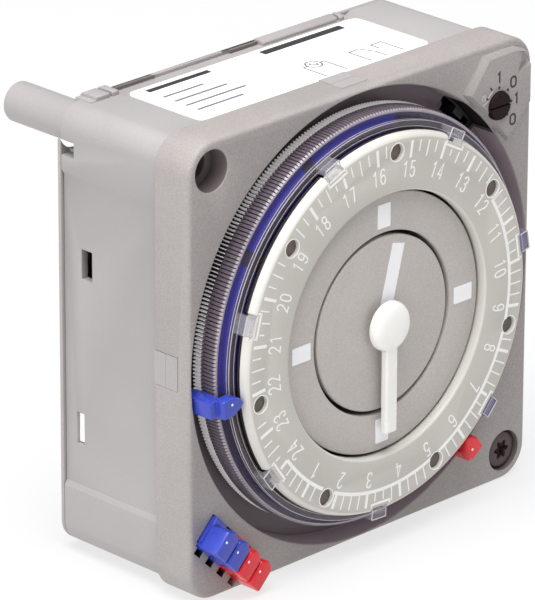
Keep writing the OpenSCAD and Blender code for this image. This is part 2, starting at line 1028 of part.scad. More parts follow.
module rider_blue() {
    ring_rider(blue_rider_angle, [0.2, 0.22, 0.7]);
}

module rider_red() {
    ring_rider(red_rider_angle, [0.85, 0.12, 0.16]);
}

// Parked in the lower left corner with its head standing proud.
module parked_rider(place, shade) {
    color(shade)
    in_storage()
        translate([0, 0, storage_place(place)]) {
            rider_head(storage_v1 + parked_overhang, parked_head_front);
            block([storage_v1 - 0.15 - parked_body_l, storage_v1 - 0.15], [-rider_w / 2, rider_w / 2],
                [parked_head_front + rider_head_t - 0.2, storage_depth - 0.2]);
        }
}

module spare_rider_blue_1() {
    parked_rider(0, [0.2, 0.22, 0.7]);
}

module spare_rider_blue_2() {
    parked_rider(1, [0.2, 0.22, 0.7]);
}

module spare_rider_red_1() {
    parked_rider(2, [0.85, 0.12, 0.16]);
}

module spare_rider_red_2() {
    parked_rider(3, [0.85, 0.12, 0.16]);
}

// ---------------------------------------------------------------- nodes

front_plate();
housing();
rear_cover();
label();
fixing_screw();
centre_plate();
hour_markers();
movement_plate();
rear_movement_plate();
pillars();
movement_screws();
minute_stud();
gearbox_case();
motor_stator();
motor_coil();
circuit_board();
backup_battery();
battery_clip();
quartz_crystal();
driver_chip();
capacitor();
socket_insulator();
contact_tabs();
microswitch_case();
microswitch_terminals();
lever_pin();
lever_spring();
selector_spring();
programme_ring();
rear_tooth_ring();
blue_band();
dial_plate();
programme_gear();
hour_disc();
hour_wheel();
day_wheel();
minute_hand();
minute_arbor();
cannon_pinion();
centre_wheel();
minute_wheel();
minute_wheel_pinion();
day_arbor();
day_pinion();
programme_pinion();
drive_wheel();
drive_shaft();
selector_knob();
selector_cam();
rider_blue();
rider_red();
spare_rider_blue_1();
spare_rider_blue_2();
spare_rider_red_1();
spare_rider_red_2();
switch_lever();
switch_plunger();
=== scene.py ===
"""Looks of a flush-mounting programmable timer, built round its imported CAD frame.

Lengths are in millimetres. A place is given as x, depth and z, where depth runs
backwards from the face of the front plate, so y = depth - BODY_DEPTH in the shared frame.
"""

import math

import bmesh
import bpy
from mathutils import Matrix, Vector


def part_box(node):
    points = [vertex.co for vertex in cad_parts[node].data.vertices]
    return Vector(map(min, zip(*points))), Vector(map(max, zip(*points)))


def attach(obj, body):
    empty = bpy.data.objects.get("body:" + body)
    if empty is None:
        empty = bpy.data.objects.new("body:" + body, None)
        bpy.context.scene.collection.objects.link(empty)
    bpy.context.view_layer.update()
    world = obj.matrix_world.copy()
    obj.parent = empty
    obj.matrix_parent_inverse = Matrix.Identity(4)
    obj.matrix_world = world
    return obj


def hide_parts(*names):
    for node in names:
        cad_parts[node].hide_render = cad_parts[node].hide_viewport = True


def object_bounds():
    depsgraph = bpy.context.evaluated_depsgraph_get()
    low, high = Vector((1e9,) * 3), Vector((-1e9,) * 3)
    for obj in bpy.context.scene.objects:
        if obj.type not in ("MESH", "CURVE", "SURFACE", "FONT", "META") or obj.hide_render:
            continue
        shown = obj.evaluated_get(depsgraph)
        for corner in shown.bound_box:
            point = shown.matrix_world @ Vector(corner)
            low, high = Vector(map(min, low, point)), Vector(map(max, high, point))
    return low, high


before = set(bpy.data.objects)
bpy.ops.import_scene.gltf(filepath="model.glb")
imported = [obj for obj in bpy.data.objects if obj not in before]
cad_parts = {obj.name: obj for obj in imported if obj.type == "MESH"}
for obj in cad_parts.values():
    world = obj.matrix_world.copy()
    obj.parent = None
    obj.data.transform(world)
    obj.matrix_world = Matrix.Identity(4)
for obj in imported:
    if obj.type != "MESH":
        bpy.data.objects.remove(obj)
cad_box = [list(corner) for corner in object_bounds()]

MM = 0.001


def low(node):
    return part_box(node)[0] / MM


def high(node):
    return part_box(node)[1] / MM


# The selector panel's height over the front plate's face
PLATEAU_H = 0.8

# Sizes taken from the frame
BODY_DEPTH = -low("front_plate").y - PLATEAU_H
PLATE_HALF = high("front_plate").x
BODY_HALF = high("housing").x
TUBE_END = high("housing").y + BODY_DEPTH
RING_R = high("programme_ring").x
DIAL_R = high("dial_plate").x
DIAL_FRONT = low("dial_plate").y + BODY_DEPTH
CENTRE_R = high("centre_plate").x
CENTRE_FRONT = low("centre_plate").y + BODY_DEPTH
HOUR_R = high("hour_disc").x
HUB_R = high("minute_hand").x
HUB_FRONT = low("minute_hand").y + BODY_DEPTH
HAND_TIP = -low("minute_hand").z
SCREW = (high("fixing_screw").x + low("fixing_screw").x) / 2
SCREW_PLACES = ((-SCREW, SCREW), (SCREW, -SCREW))

# Sizes that repeat what the part's source says
PLATE_R = 5.0
SKIRT = 7.3
BODY_R = BODY_HALF - SCREW
COVER = 28.0
DISH_R = 35.45
DISH_DEPTH = 4.6
NOON = 35.74
TEETH = 336
SHOULDER = (30.0, 30.9)
BORE_R = 20.8
TUBE_R = 3.1
TUBE_BORE_R = 2.15
COUNTERBORE_R = 3.25
HOLES = 7
HOLE_RING_R = 27.11
HOLE_R = 1.32
KNOB = (28.0, 26.3)
KNOB_R = 2.2
BLUE_ANGLE = -173.2
RED_ANGLE = -52.8
PITCH = 3.23
STORE_U0 = -4.5

# Depths on the programme ring: its front, the joint to the rear teeth, the channel's floor,
# and where the clear wall turns smoky
RING_FRONT = -1.45
RING_SPLIT = 1.4
RING_COVER = -0.35
SMOKE_LEVEL = -2.35


# ------------------------------------------------------------------ mesh tools

def point(x, depth, z):
    return Vector((x, depth - BODY_DEPTH, z)) * MM


def polar(r, degrees):
    a = math.radians(degrees)
    return r * math.cos(a), r * math.sin(a)


def spun(points, degrees, centre=(0.0, 0.0)):
    """Turns a front-view outline anticlockwise about the dial's axis."""
    c, s = polar(1, degrees)
    return [(c * x - s * z + centre[0], s * x + c * z + centre[1]) for x, z in points]


def circle(r, steps=48, centre=(0.0, 0.0)):
    return [
        (centre[0] + r * math.cos(math.tau * i / steps),
         centre[1] + r * math.sin(math.tau * i / steps))
        for i in range(steps)
    ]


def arc(r, start, end, steps):
    return [polar(r, start + (end - start) * i / steps) for i in range(steps + 1)]


def rectangle(x0, x1, z0, z1):
    return [(x0, z0), (x1, z0), (x1, z1), (x0, z1)]


def soft_square(half, r, steps=10):
    """A square outline with round corners."""
    points = []
    for k in range(4):
        points += spun([
            (half - r + p[0], half - r + p[1]) for p in arc(r, 0, 90, steps)
        ], 90 * k)
    return points


def soft_rectangle(x0, x1, z0, z1, r, steps=4):
    points = []
    corners = [(x1 - r, z1 - r), (x0 + r, z1 - r), (x0 + r, z0 + r), (x1 - r, z0 + r)]
    for k, (x, z) in enumerate(corners):
        points += [(x + p[0], z + p[1]) for p in arc(r, 90 * k, 90 * k + 90, steps)]
    return points


def add_sweep(bm, path, width, front, back, to_point=point, closed=False):
    """Adds a ribbon of even width along a path, rising a hair so that crossings stay clean."""
    count = len(path)
    rings = []
    for i, (x, z) in enumerate(path):
        before = path[i - 1] if i or closed else None
        after = path[(i + 1) % count] if i + 1 < count or closed else None
        a = Vector((x - before[0], z - before[1])).normalized() if before else None
        b = Vector((after[0] - x, after[1] - z)).normalized() if after else None
        along = ((a or b) + (b or a)).normalized()
        reach = width / 2 / max(0.5, along.dot(b or a))
        nx, nz = -along.y * reach, along.x * reach
        level = front - 0.0008 * i
        rings.append([bm.verts.new(to_point(*place)) for place in (
            (x + nx, level, z + nz), (x - nx, level, z - nz),
            (x - nx, back, z - nz), (x + nx, back, z + nz))])
    pairs = list(zip(rings, rings[1:]))
    if closed:
        pairs.append((rings[-1], rings[0]))
    for a, b in pairs:
        for k in range(4):
            m = (k + 1) % 4
            bm.faces.new((a[k], a[m], b[m], b[k]))
    if not closed:
        bm.faces.new(rings[0])
        bm.faces.new(list(reversed(rings[-1])))


def to_object(name, bm):
    bmesh.ops.recalc_face_normals(bm, faces=bm.faces)
    mesh = bpy.data.meshes.new(name)
    bm.to_mesh(mesh)
    bm.free()
    o = bpy.data.objects.new(name, mesh)
    bpy.context.scene.collection.objects.link(o)
    return o


def add_skin(bm, rings):
    """Joins rings with the same number of points and closes both ends."""
    for a, b in zip(rings, rings[1:]):
        for i in range(len(a)):
            j = (i + 1) % len(a)
            bm.faces.new((a[i], a[j], b[j], b[i]))
    bm.faces.new(rings[0])
    bm.faces.new(list(reversed(rings[-1])))


def add_loft(bm, stages):
    """Adds a solid through outlines, each at its own depth."""
    add_skin(bm, [
        [bm.verts.new(point(x, depth, z)) for x, z in outline] for outline, depth in stages])


def loft(name, stages):
    bm = bmesh.new()
    add_loft(bm, stages)
    return to_object(name, bm)


def prisms(name, outlines, front, back):
    """Many outlines raised between two depths, in one mesh."""
    bm = bmesh.new()
    for outline in outlines:
        add_loft(bm, [(outline, front), (outline, back)])
    return to_object(name, bm)


def add_lathe(bm, profile, steps, centre):
    rings = []
    for i in range(steps):
        c, s = polar(1, 360 * i / steps)
        rings.append([
            bm.verts.new(point(centre[0] + r * c, depth, centre[1] + r * s))
            for r, depth in profile
        ])
    count = len(profile)
    for i in range(steps):
        a, b = rings[i], rings[(i + 1) % steps]
        for k in range(count):
            m = (k + 1) % count
            bm.faces.new((a[k], a[m], b[m], b[k]))
    bmesh.ops.remove_doubles(bm, verts=bm.verts, dist=1e-8)
    bmesh.ops.dissolve_degenerate(bm, dist=1e-8, edges=bm.edges)


def lathe(name, profile, steps=160, centre=(0.0, 0.0)):
    """A closed profile of (radius, depth) pairs turned about an axis along Y."""
    bm = bmesh.new()
    add_lathe(bm, profile, steps, centre)
    return to_object(name, bm)


def rod(name, r, front, back, centre=(0.0, 0.0), steps=64):
    outline = circle(r, steps, centre)
    return loft(name, [(outline, front), (outline, back)])


def block(name, x, z, depth):
    outline = rectangle(x[0], x[1], z[0], z[1])
    return loft(name, [(outline, depth[0]), (outline, depth[1])])


def bake(o):
    graph = bpy.context.evaluated_depsgraph_get()
    mesh = bpy.data.meshes.new_from_object(o.evaluated_get(graph))
    old = o.data
    o.modifiers.clear()
    o.data = mesh
    bpy.data.meshes.remove(old)
    return o


def discard(o):
    mesh = o.data
    bpy.data.objects.remove(o)
    bpy.data.meshes.remove(mesh)


def combine(o, others, how):
    for other in others:
        m = o.modifiers.new("combine", "BOOLEAN")
        m.object = other
        m.operation = how
        m.solver = "EXACT"
        bake(o)
        discard(other)
    return o


def cut(o, *others):
    return combine(o, others, "DIFFERENCE")


def fuse(o, *others):
    return combine(o, others, "UNION")


def soften(o, width, segments=2, angle=32):
    """Rounds every edge sharper than the angle."""
    m = o.modifiers.new("soften", "BEVEL")
    m.width = width * MM
    m.segments = segments
    m.limit_method = "ANGLE"
    m.angle_limit = math.radians(angle)
    m.use_clamp_overlap = False
    m.miter_outer = "MITER_SHARP"
    return bake(o)


def tidy(o):
    """Merges what the cuts left flat."""
    bm = bmesh.new()
    bm.from_mesh(o.data)
    bmesh.ops.remove_doubles(bm, verts=bm.verts, dist=2e-7)
    bmesh.ops.dissolve_limit(
        bm, angle_limit=math.radians(0.4), verts=bm.verts, edges=bm.edges)
    bm.to_mesh(o.data)
    bm.free()
    return o


def merge(name, *objects):
    """Joins meshes into one object without a boolean."""
    bm = bmesh.new()
    for o in objects:
        bm.from_mesh(o.data)
        discard(o)
    return to_object(name, bm)


def smooth(o, angle=30):
    o.data.shade_smooth()
    o.data.set_sharp_from_angle(angle=math.radians(angle))
    return o


def piece(o, body, mat, replaced=(), angle=30):
    smooth(o, angle)
    if not o.data.materials:
        o.data.materials.append(mat)
    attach(o, body)
    if replaced:
        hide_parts(*replaced)
    return o


def paint(o, mat, wanted):
    """Gives a second material to the faces whose centre and normal are wanted."""
    o.data.materials.append(mat)
    index = len(o.data.materials) - 1
    for face in o.data.polygons:
        c = face.center / MM
        if wanted(c.x, c.y + BODY_DEPTH, c.z, face.normal):
            face.material_index = index


# ------------------------------------------------------------------ materials

def srgb(r, g, b):
    def linear(v):
        v /= 255
        return v / 12.92 if v <= 0.04045 else ((v + 0.055) / 1.055) ** 2.4
    return linear(r), linear(g), linear(b)


def noise(nodes, links, coords, size, detail, rough=0.5):
    n = nodes.new("ShaderNodeTexNoise")
    n.inputs["Scale"].default_value = 1 / (size * MM)
    n.inputs["Detail"].default_value = detail
    n.inputs["Roughness"].default_value = rough
    links.new(coords, n.inputs["Vector"])
    return n.outputs["Fac"]


def ranged(nodes, links, value, low_out, high_out, low_in=0.3, high_in=0.7):
    m = nodes.new("ShaderNodeMapRange")
    m.inputs["From Min"].default_value = low_in
    m.inputs["From Max"].default_value = high_in
    m.inputs["To Min"].default_value = low_out
    m.inputs["To Max"].default_value = high_out
    links.new(value, m.inputs["Value"])
    return m.outputs["Result"]


def material(name, colour, rough=0.5, grain=0.004, grain_size=0.25, mottle=0.05,
             mottle_size=5.0, speckle=0.0, speckle_size=0.2, rough_spread=0.08,
             metal=0.0, coat=0.0, alpha=1.0, ior=1.46, scatter=0.0, glow=0.0):
    mat = bpy.data.materials.new(name)
    mat.use_nodes = True
    nodes, links = mat.node_tree.nodes, mat.node_tree.links
    shader = nodes["Principled BSDF"]
    coords = nodes.new("ShaderNodeTexCoord").outputs["Object"]
    wide = noise(nodes, links, coords, mottle_size, 3)
    fine = noise(nodes, links, coords, grain_size, 2, 0.6)
    factor = ranged(nodes, links, wide, 1 - mottle, 1 + mottle)
    if speckle:
        spots = noise(nodes, links, coords, speckle_size, 1, 0.5)
        flecks = ranged(nodes, links, spots, 1 - speckle, 1 + speckle, 0.32, 0.68)
        product = nodes.new("ShaderNodeMath")
        product.operation = "MULTIPLY"
        links.new(factor, product.inputs[0])
        links.new(flecks, product.inputs[1])
        factor = product.outputs[0]
    tone = nodes.new("ShaderNodeVectorMath")
    tone.operation = "SCALE"
    tone.inputs[0].default_value = colour
    links.new(factor, tone.inputs["Scale"])
    links.new(tone.outputs[0], shader.inputs["Base Color"])
    links.new(
        ranged(nodes, links, wide, rough - rough_spread, rough + rough_spread),
        shader.inputs["Roughness"])
    if grain:
        bump = nodes.new("ShaderNodeBump")
        bump.inputs["Distance"].default_value = grain * MM
        bump.inputs["Strength"].default_value = 1
        links.new(fine, bump.inputs["Height"])
        links.new(bump.outputs["Normal"], shader.inputs["Normal"])
    shader.inputs["Metallic"].default_value = metal
    shader.inputs["Coat Weight"].default_value = coat
    shader.inputs["Alpha"].default_value = alpha
    shader.inputs["IOR"].default_value = ior
    shader.inputs["Emission Color"].default_value = (*colour, 1)
    shader.inputs["Emission Strength"].default_value = glow
    if scatter:
        shader.inputs["Subsurface Weight"].default_value = scatter
        shader.inputs["Subsurface Scale"].default_value = 0.0006
        shader.inputs["Subsurface Radius"].default_value = (1, 1, 1)
    return mat


grey_satin = material("grey_satin", srgb(160, 156, 155), 0.5, 0.004, 0.25, 0.02, 9,
                      speckle=0.05, speckle_size=0.17, rough_spread=0.05)
grey_grain = material("grey_grain", srgb(157, 151, 149), 0.52, 0.010, 0.28, 0.025, 6,
                      speckle=0.13, speckle_size=0.17)
# Painted shade: the dish's inside is darker than the plate's plastic.
dish_shade = material("dish_shade", srgb(120, 107, 113), 0.5, 0.006, 0.3, 0.05, 4)
# Painted light: the dish's wall is lighter than the plate's plastic.
dish_wall = material("dish_wall", srgb(180, 164, 172), 0.45, 0.006, 0.3, 0.05, 4)
# Painted shade: darker grey inside the counterbores and in the slots on the top.
bore_shade = material("bore_shade", srgb(112, 103, 102), 0.5, 0.006, 0.3, 0.05, 4)
# Painted shade: near black for deep openings and gaps.
shade_black = material("shade_black", srgb(34, 28, 29), 0.6, 0.01, 0.3, 0.1, 3)
dial_grey = material("dial_grey", srgb(192, 188, 182), 0.5, 0.004, 0.25, 0.02, 5,
                     speckle=0.05, speckle_size=0.17)
centre_grey = material("centre_grey", srgb(184, 178, 174), 0.5, 0.005, 0.22, 0.02, 4,
                       speckle=0.09, speckle_size=0.17)
rim_white = material("rim_white", srgb(208, 205, 199), 0.35, 0.002, 0.4, 0.02, 4, coat=0.1)
white_gloss = material("white_gloss", srgb(240, 239, 235), 0.25, 0.001, 0.8, 0.015, 4,
                       coat=0.25, scatter=0.15)
white_print = material("white_print", srgb(238, 238, 236), 0.45, 0.002, 0.2, 0.03, 2)
marker_white = material("marker_white", srgb(240, 240, 243), 0.45, 0.002, 0.2, 0.02, 2)
dark_print = material("dark_print", srgb(52, 44, 44), 0.5, 0.003, 0.2, 0.1, 1)
seat_brown = material("seat_brown", srgb(104, 92, 84), 0.5, 0.01, 0.3, 0.15, 1)
blue = material("blue", srgb(50, 66, 172), 0.3, 0.002, 0.5, 0.06, 3, coat=0.2, scatter=0.1)
band_blue = material("band_blue", srgb(34, 36, 166), 0.35, 0.003, 0.4, 0.06, 3)
red = material("red", srgb(212, 24, 38), 0.3, 0.002, 0.5, 0.06, 3, coat=0.2, scatter=0.1)
knob_black = material("knob_black", srgb(34, 20, 20), 0.7, 0.004, 0.25, 0.1, 2, ior=1.25)
black_steel = material("black_steel", srgb(78, 66, 66), 0.38, 0.006, 0.35, 0.15, 1.5,
                       metal=0.4)
# Painted light: this white glows a little, so the rear teeth and the tab behind the side window stay
# bright in shade.
tooth_white_glow = material("tooth_white_glow", srgb(246, 244, 244), 0.25, 0.002, 0.4, 0.05, 3, coat=0.5,
                       glow=0.15)
channel_violet = material("channel_violet", srgb(66, 52, 96), 0.3, 0.002, 0.5, 0.08, 3)
ring_smoke = material("ring_smoke", srgb(106, 96, 106), 0.22, 0.001, 0.8, 0.06, 4, coat=0.3)
clear_wall = material("clear_wall", srgb(120, 112, 140), 0.1, 0.001, 0.8, 0.05, 4, coat=0.4,
                      alpha=0.16)
ring_edge = material("ring_edge", srgb(158, 150, 158), 0.25, 0.001, 0.8, 0.06, 4, coat=0.3)
wall_smoke = material("wall_smoke", srgb(92, 84, 90), 0.15, 0.001, 0.8, 0.05, 4, coat=0.4,
                      alpha=0.6)
# Painted highlight: a light, nearly opaque colour for the glints on the clear plastic's edges.
clear_edge_glint = material("clear_edge_glint", srgb(205, 203, 210), 0.15, 0.001, 0.8, 0.05, 4, coat=0.4,
                      alpha=0.8)
# Painted shade: a darker violet copy of the clear tab colour, for the tabs over the dark dish.
violet_tab = material("violet_tab", srgb(118, 112, 146), 0.15, 0.001, 0.8, 0.08, 3, coat=0.5,
                      alpha=0.85)
clear_tab = material("clear_tab", srgb(214, 212, 222), 0.08, 0.001, 0.8, 0.04, 3,
                     coat=0.5, alpha=0.15)
paper = material("paper", srgb(246, 246, 246), 0.35, 0.0015, 0.4, 0.01, 5, coat=0.15)
ink = material("ink", srgb(46, 44, 48), 0.45, 0.001, 0.3, 0.08, 2)
light_ink = material("light_ink", srgb(205, 202, 200), 0.45, 0.001, 0.3, 0.05, 2)
pale_ink = material("pale_ink", srgb(112, 112, 118), 0.45, 0.001, 0.3, 0.08, 2)
frame_plastic = material("frame_plastic", srgb(92, 92, 96), 0.5, 0.006, 0.3, 0.06, 4)
acetal = material("acetal", srgb(236, 231, 217), 0.38, 0.002, 0.4, 0.03, 3, scatter=0.1)
steel = material("steel", srgb(196, 196, 200), 0.28, 0.002, 0.2, 0.05, 2, metal=1.0)
brass = material("brass", srgb(205, 170, 98), 0.3, 0.002, 0.2, 0.06, 2, metal=1.0)
tinned = material("tinned", srgb(200, 198, 186), 0.35, 0.003, 0.25, 0.06, 2, metal=1.0)
copper = material("copper", srgb(182, 98, 52), 0.35, 0.008, 0.2, 0.1, 1.5, metal=0.8)
board_green = material("board_green", srgb(36, 98, 56), 0.35, 0.003, 0.4, 0.1, 3, coat=0.3)
epoxy = material("epoxy", srgb(34, 34, 36), 0.5, 0.005, 0.25, 0.1, 2)

NODE_LOOKS = {
    "movement_plate": frame_plastic, "rear_movement_plate": frame_plastic,
    "pillars": steel, "movement_screws": steel, "minute_stud": steel,
    "gearbox_case": epoxy, "motor_stator": steel, "motor_coil": copper,
    "circuit_board": board_green, "backup_battery": steel, "battery_clip": tinned,
    "quartz_crystal": steel, "driver_chip": epoxy, "capacitor": epoxy,
    "socket_insulator": epoxy, "contact_tabs": tinned, "microswitch_case": epoxy,
    "microswitch_terminals": brass, "lever_pin": steel, "lever_spring": steel,
    "selector_spring": steel, "programme_gear": acetal, "hour_wheel": acetal,
    "day_wheel": acetal, "minute_arbor": steel, "cannon_pinion": brass,
    "centre_wheel": acetal, "minute_wheel": acetal, "minute_wheel_pinion": acetal,
    "day_arbor": steel, "day_pinion": acetal, "programme_pinion": brass,
    "drive_wheel": acetal, "drive_shaft": steel, "selector_cam": acetal,
    "switch_lever": epoxy, "switch_plunger": red,
}
for node, look in NODE_LOOKS.items():
    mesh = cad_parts[node].data
    mesh.materials.clear()
    mesh.materials.append(look)


# ------------------------------------------------------------------ camera and light

def make_camera():
    """A long lens from the upper left front."""
    turn, lift, roll = math.radians(-44.867), math.radians(22.146), math.radians(0.177)
    back = Vector((
        math.sin(turn) * math.cos(lift), -math.cos(turn) * math.cos(lift), math.sin(lift)))
    right = Vector((0, 0, 1)).cross(back).normalized()
    up = back.cross(right)
    c, s = math.cos(roll), math.sin(roll)
    right, up = c * right + s * up, c * up - s * right
    data = bpy.data.cameras.new("camera")
    data.lens = 359.35
    data.sensor_width = 36
    data.clip_start, data.clip_end = 0.05, 50
    camera = bpy.data.objects.new("camera", data)
    turned = Matrix((right, up, back)).transposed().to_4x4()
    camera.matrix_world = Matrix.Translation((-0.59109, -0.60268, 0.33772)) @ turned
    bpy.context.scene.collection.objects.link(camera)
    bpy.context.scene.camera = camera


def area_light(name, place, size, power, colour=(1, 1, 1), target=(0, -0.01, 0)):
    data = bpy.data.lights.new(name, "AREA")
    data.shape = "RECTANGLE"
    data.size, data.size_y = size
    data.energy = power
    data.color = colour
    o = bpy.data.objects.new(name, data)
    o.location = place
    o.rotation_mode = "QUATERNION"
    o.rotation_quaternion = (Vector(target) - Vector(place)).to_track_quat("-Z", "Y")
    bpy.context.scene.collection.objects.link(o)


def make_studio():
    world = bpy.data.worlds.new("studio")
    world.use_nodes = True
    background = world.node_tree.nodes["Background"]
    background.inputs["Color"].default_value = (1.0, 1.0, 1.0, 1)
    background.inputs["Strength"].default_value = 0.35
    bpy.context.scene.world = world
    area_light("left_softbox", (-1.1, -0.12, 0.35), (0.9, 0.9), 7.7)
    area_light("top_softbox", (-0.2, -0.13, 1.1), (0.9, 0.9), 18.5)
    area_light("front_fill", (0.35, -1.3, 0.55), (0.9, 0.9), 0.5)
    bpy.context.scene.view_settings.view_transform = "Standard"
    bpy.context.scene.view_settings.look = "None"


def make_floor():
    bm = bmesh.new()
    half, z = 4.0, cad_box[0][2]
    corners = [bm.verts.new((x, y, z)) for x, y in
               ((-half, -half), (half, -half), (half, half), (-half, half))]
    bm.faces.new(corners)
    floor = to_object("studio_floor", bm)
    mat = material("floor_white", (0.2, 0.2, 0.2), 0.7, 0.0, 3, 0.004, 200)
    shader = mat.node_tree.nodes["Principled BSDF"]
    shader.inputs["Specular IOR Level"].default_value = 0.1
    shader.inputs["Emission Color"].default_value = (1, 1, 1, 1)
    shader.inputs["Emission Strength"].default_value = 0.7
    floor.data.materials.append(mat)


make_camera()
make_studio()
make_floor()


# ------------------------------------------------------------------ front plate

def quarter(radius, steps=5):
    """(inset, depth) pairs round a convex edge."""
    return [
        (radius * (1 - math.sin(math.pi / 2 * i / steps)),
         radius * (1 - math.cos(math.pi / 2 * i / steps)))
        for i in range(steps + 1)
    ]


def plateau_outline(inset):
    k = inset * 1.3
    return [
        (20.9 + k, 29.6 - inset * 0.4), (25.1 + k * 0.75, 34.9 - inset),
        (31.4, 35.0 - inset), (34.2 - inset * 0.4, 33.8 - inset * 0.4),
        (35.3 - inset * 0.4, 31.3), (35.3 - inset * 0.4, 25.3), (30.4 - inset * 0.3, 19.9 + k * 0.6),
    ]


def store_point(u, v):
    """u runs down to the right along the parked riders, v runs to the corner."""
    return spun([(v, u)], 225)[0]


def store_outline(u0, u1, v0, v1):
    return [store_point(u, v) for u, v in ((u0, v0), (u1, v0), (u1, v1), (u0, v1))]


def make_bezel():
    stages = [(soft_square(PLATE_HALF - i, PLATE_R - i), d) for i, d in quarter(0.75)]
    stages += [
        (soft_square(PLATE_HALF, PLATE_R), SKIRT - 0.3),
        (soft_square(PLATE_HALF - 0.25, PLATE_R - 0.25), SKIRT),
    ]
    o = loft("bezel", stages)
    plateau = loft("plateau", [
        (plateau_outline(0.9), -PLATEAU_H), (plateau_outline(0), -0.01), (plateau_outline(0), 1),
    ])
    fuse(o, plateau)
    rim = 0.28
    dish = [(0, -2), (DISH_R + rim + 1.72, -2), (DISH_R + rim, 0)]
    dish += [(DISH_R + i, d) for i, d in quarter(rim, 4)]
    dish += [(DISH_R, DISH_DEPTH - 0.3), (DISH_R - 0.3, DISH_DEPTH), (0, DISH_DEPTH)]
    cut(o, lathe("dish", dish, 240))
    cut(o, rod("floor_bore", 18.6, 3, 9, steps=96))
    cut(o, loft("hollow", [(soft_square(34.6, 3.6), 6.0), (soft_square(34.6, 3.6), 9)]))
    for x, z in SCREW_PLACES:
        counterbore = [(0, -1), (COUNTERBORE_R + 1.2, -1)]
        counterbore += [(COUNTERBORE_R + i, d) for i, d in quarter(0.2, 3)]
        counterbore += [(COUNTERBORE_R, 3.6), (2.35, 3.6), (TUBE_BORE_R, 3.8), (TUBE_BORE_R, 9),
                        (0, 9)]
        cut(o, lathe("counterbore", counterbore, 64, (x, z)))
    cut(o, rod("knob_hole", KNOB_R + 0.08, -2, 1.3, KNOB, 48))
    cut(o, rod("knob_bore", 1.28, 0, 9, KNOB, 32))
    # Storage pocket with its comb
    ends = (STORE_U0 - PITCH / 2, STORE_U0 + 3.5 * PITCH)
    outline = store_outline(ends[0], ends[1], 37.9, 42.7)
    cut(o, loft("pocket", [(outline, -1), (outline, 5.6)]))
    for i in range(4):
        u = STORE_U0 + i * PITCH
        outline = store_outline(u - 0.8, u + 0.8, 42.6, 44.3)
        cut(o, loft("comb", [(outline, -1), (outline, 2.6)]))
    # Openings towards the switching lever
    window = arc(DISH_R - 1, 37.5, 52.6, 16) + list(reversed(arc(DISH_R + 0.5, 37.5, 52.6, 16)))
    cut(o, loft("window", [(window, 0.45), (window, DISH_DEPTH + 0.6)]))
    slot = arc(33.3, 39, 51.6, 16) + list(reversed(arc(35.6, 39, 51.6, 16)))
    cut(o, loft("slot", [(slot, DISH_DEPTH - 0.5), (slot, 9)]))
    # Triangular dent in the plateau's corner
    dent = [(33.1, 33.5), (32.05, 30.3), (35.9, 31.6)]
    inner = [(33.15, 33.1), (32.3, 30.6), (35.9, 31.9)]
    cut(o, loft("dent", [(dent, -2), (dent, -PLATEAU_H), (inner, -PLATEAU_H + 0.65)]))
    # Snap tabs of the housing show in the skirt
    for k in range(4):
        outline = spun(rectangle(PLATE_HALF - 0.12, PLATE_HALF + 1, -3.0, 2.4), 90 * k)
        cut(o, loft("tab_recess", [(outline, 2.4), (outline, 9)]))
    tidy(o)
    soften(o, 0.1)
    o.data.materials.append(grey_grain)
    # Painted shade: the dish's floor and inside are darker than the face.
    paint(o, dish_shade, lambda x, d, z, n: 0.25 < d < 6
          and math.hypot(x, z) < DISH_R + 0.02)
    # Painted light: the dish's wall gets a lighter colour than the face.
    paint(o, dish_wall, lambda x, d, z, n: 0.2 < d < 5
          and DISH_R - 0.12 < math.hypot(x, z) < DISH_R + 0.02)
    # Painted shade: near black in the storage pocket, the window towards the lever and the slot behind
    # it.
    paint(o, shade_black, lambda x, d, z, n: d > 0.3 and (
        (38.1 < -z - x and -x < 34.6 and -z < 34.6 and d < 5.7
         and abs(x - z) < 21 and math.hypot(x, z) > 37.4)
        or (37.3 < math.degrees(math.atan2(z, x)) < 52.8
            and DISH_R + 0.03 < math.hypot(x, z) < DISH_R + 0.56)
        or (d > DISH_DEPTH + 0.05 and 33.2 < math.hypot(x, z) < DISH_R + 0.56 and x > 0 and z > 0)))
    # Painted shade: the counterbores' insides are darker than the face.
    paint(o, bore_shade, lambda x, d, z, n: d > 0.5 and min(
        math.hypot(x + SCREW, z - SCREW), math.hypot(x - SCREW, z + SCREW)) < 3.27)
    piece(o, "case", grey_grain, ("front_plate",))
    tabs = []
    for k in range(4):
        side = rectangle(PLATE_HALF - 0.14, PLATE_HALF - 0.04, -2.95, 2.35)
        tabs.append(loft("tab", [(spun(side, 90 * k), 2.5), (spun(side, 90 * k), SKIRT)]))
        lip = rectangle(PLATE_HALF - 0.07, PLATE_HALF, -2.95, 2.35)
        tabs.append(loft("tab", [(spun(lip, 90 * k), 4.95), (spun(lip, 90 * k), SKIRT)]))
    tabs = merge("skirt_tabs", *tabs)
    piece(tabs, "case", grey_satin, ())


make_bezel()


# ------------------------------------------------------------------ housing

def panel_outline(inset=0.0, recess=0.5):
    """The housing's section: round corners and a shallow panel in each side."""
    half = BODY_HALF - inset
    points = []
    for k in range(4):
        side = [
            (half, -25.2), (half - recess, -24.3), (half - recess, 24.5), (half, 25.3),
        ]
        corner = [(SCREW + p[0], SCREW + p[1]) for p in arc(BODY_R - inset, 0, 90, 12)]
        points += spun(side + corner, 90 * k)
    return points


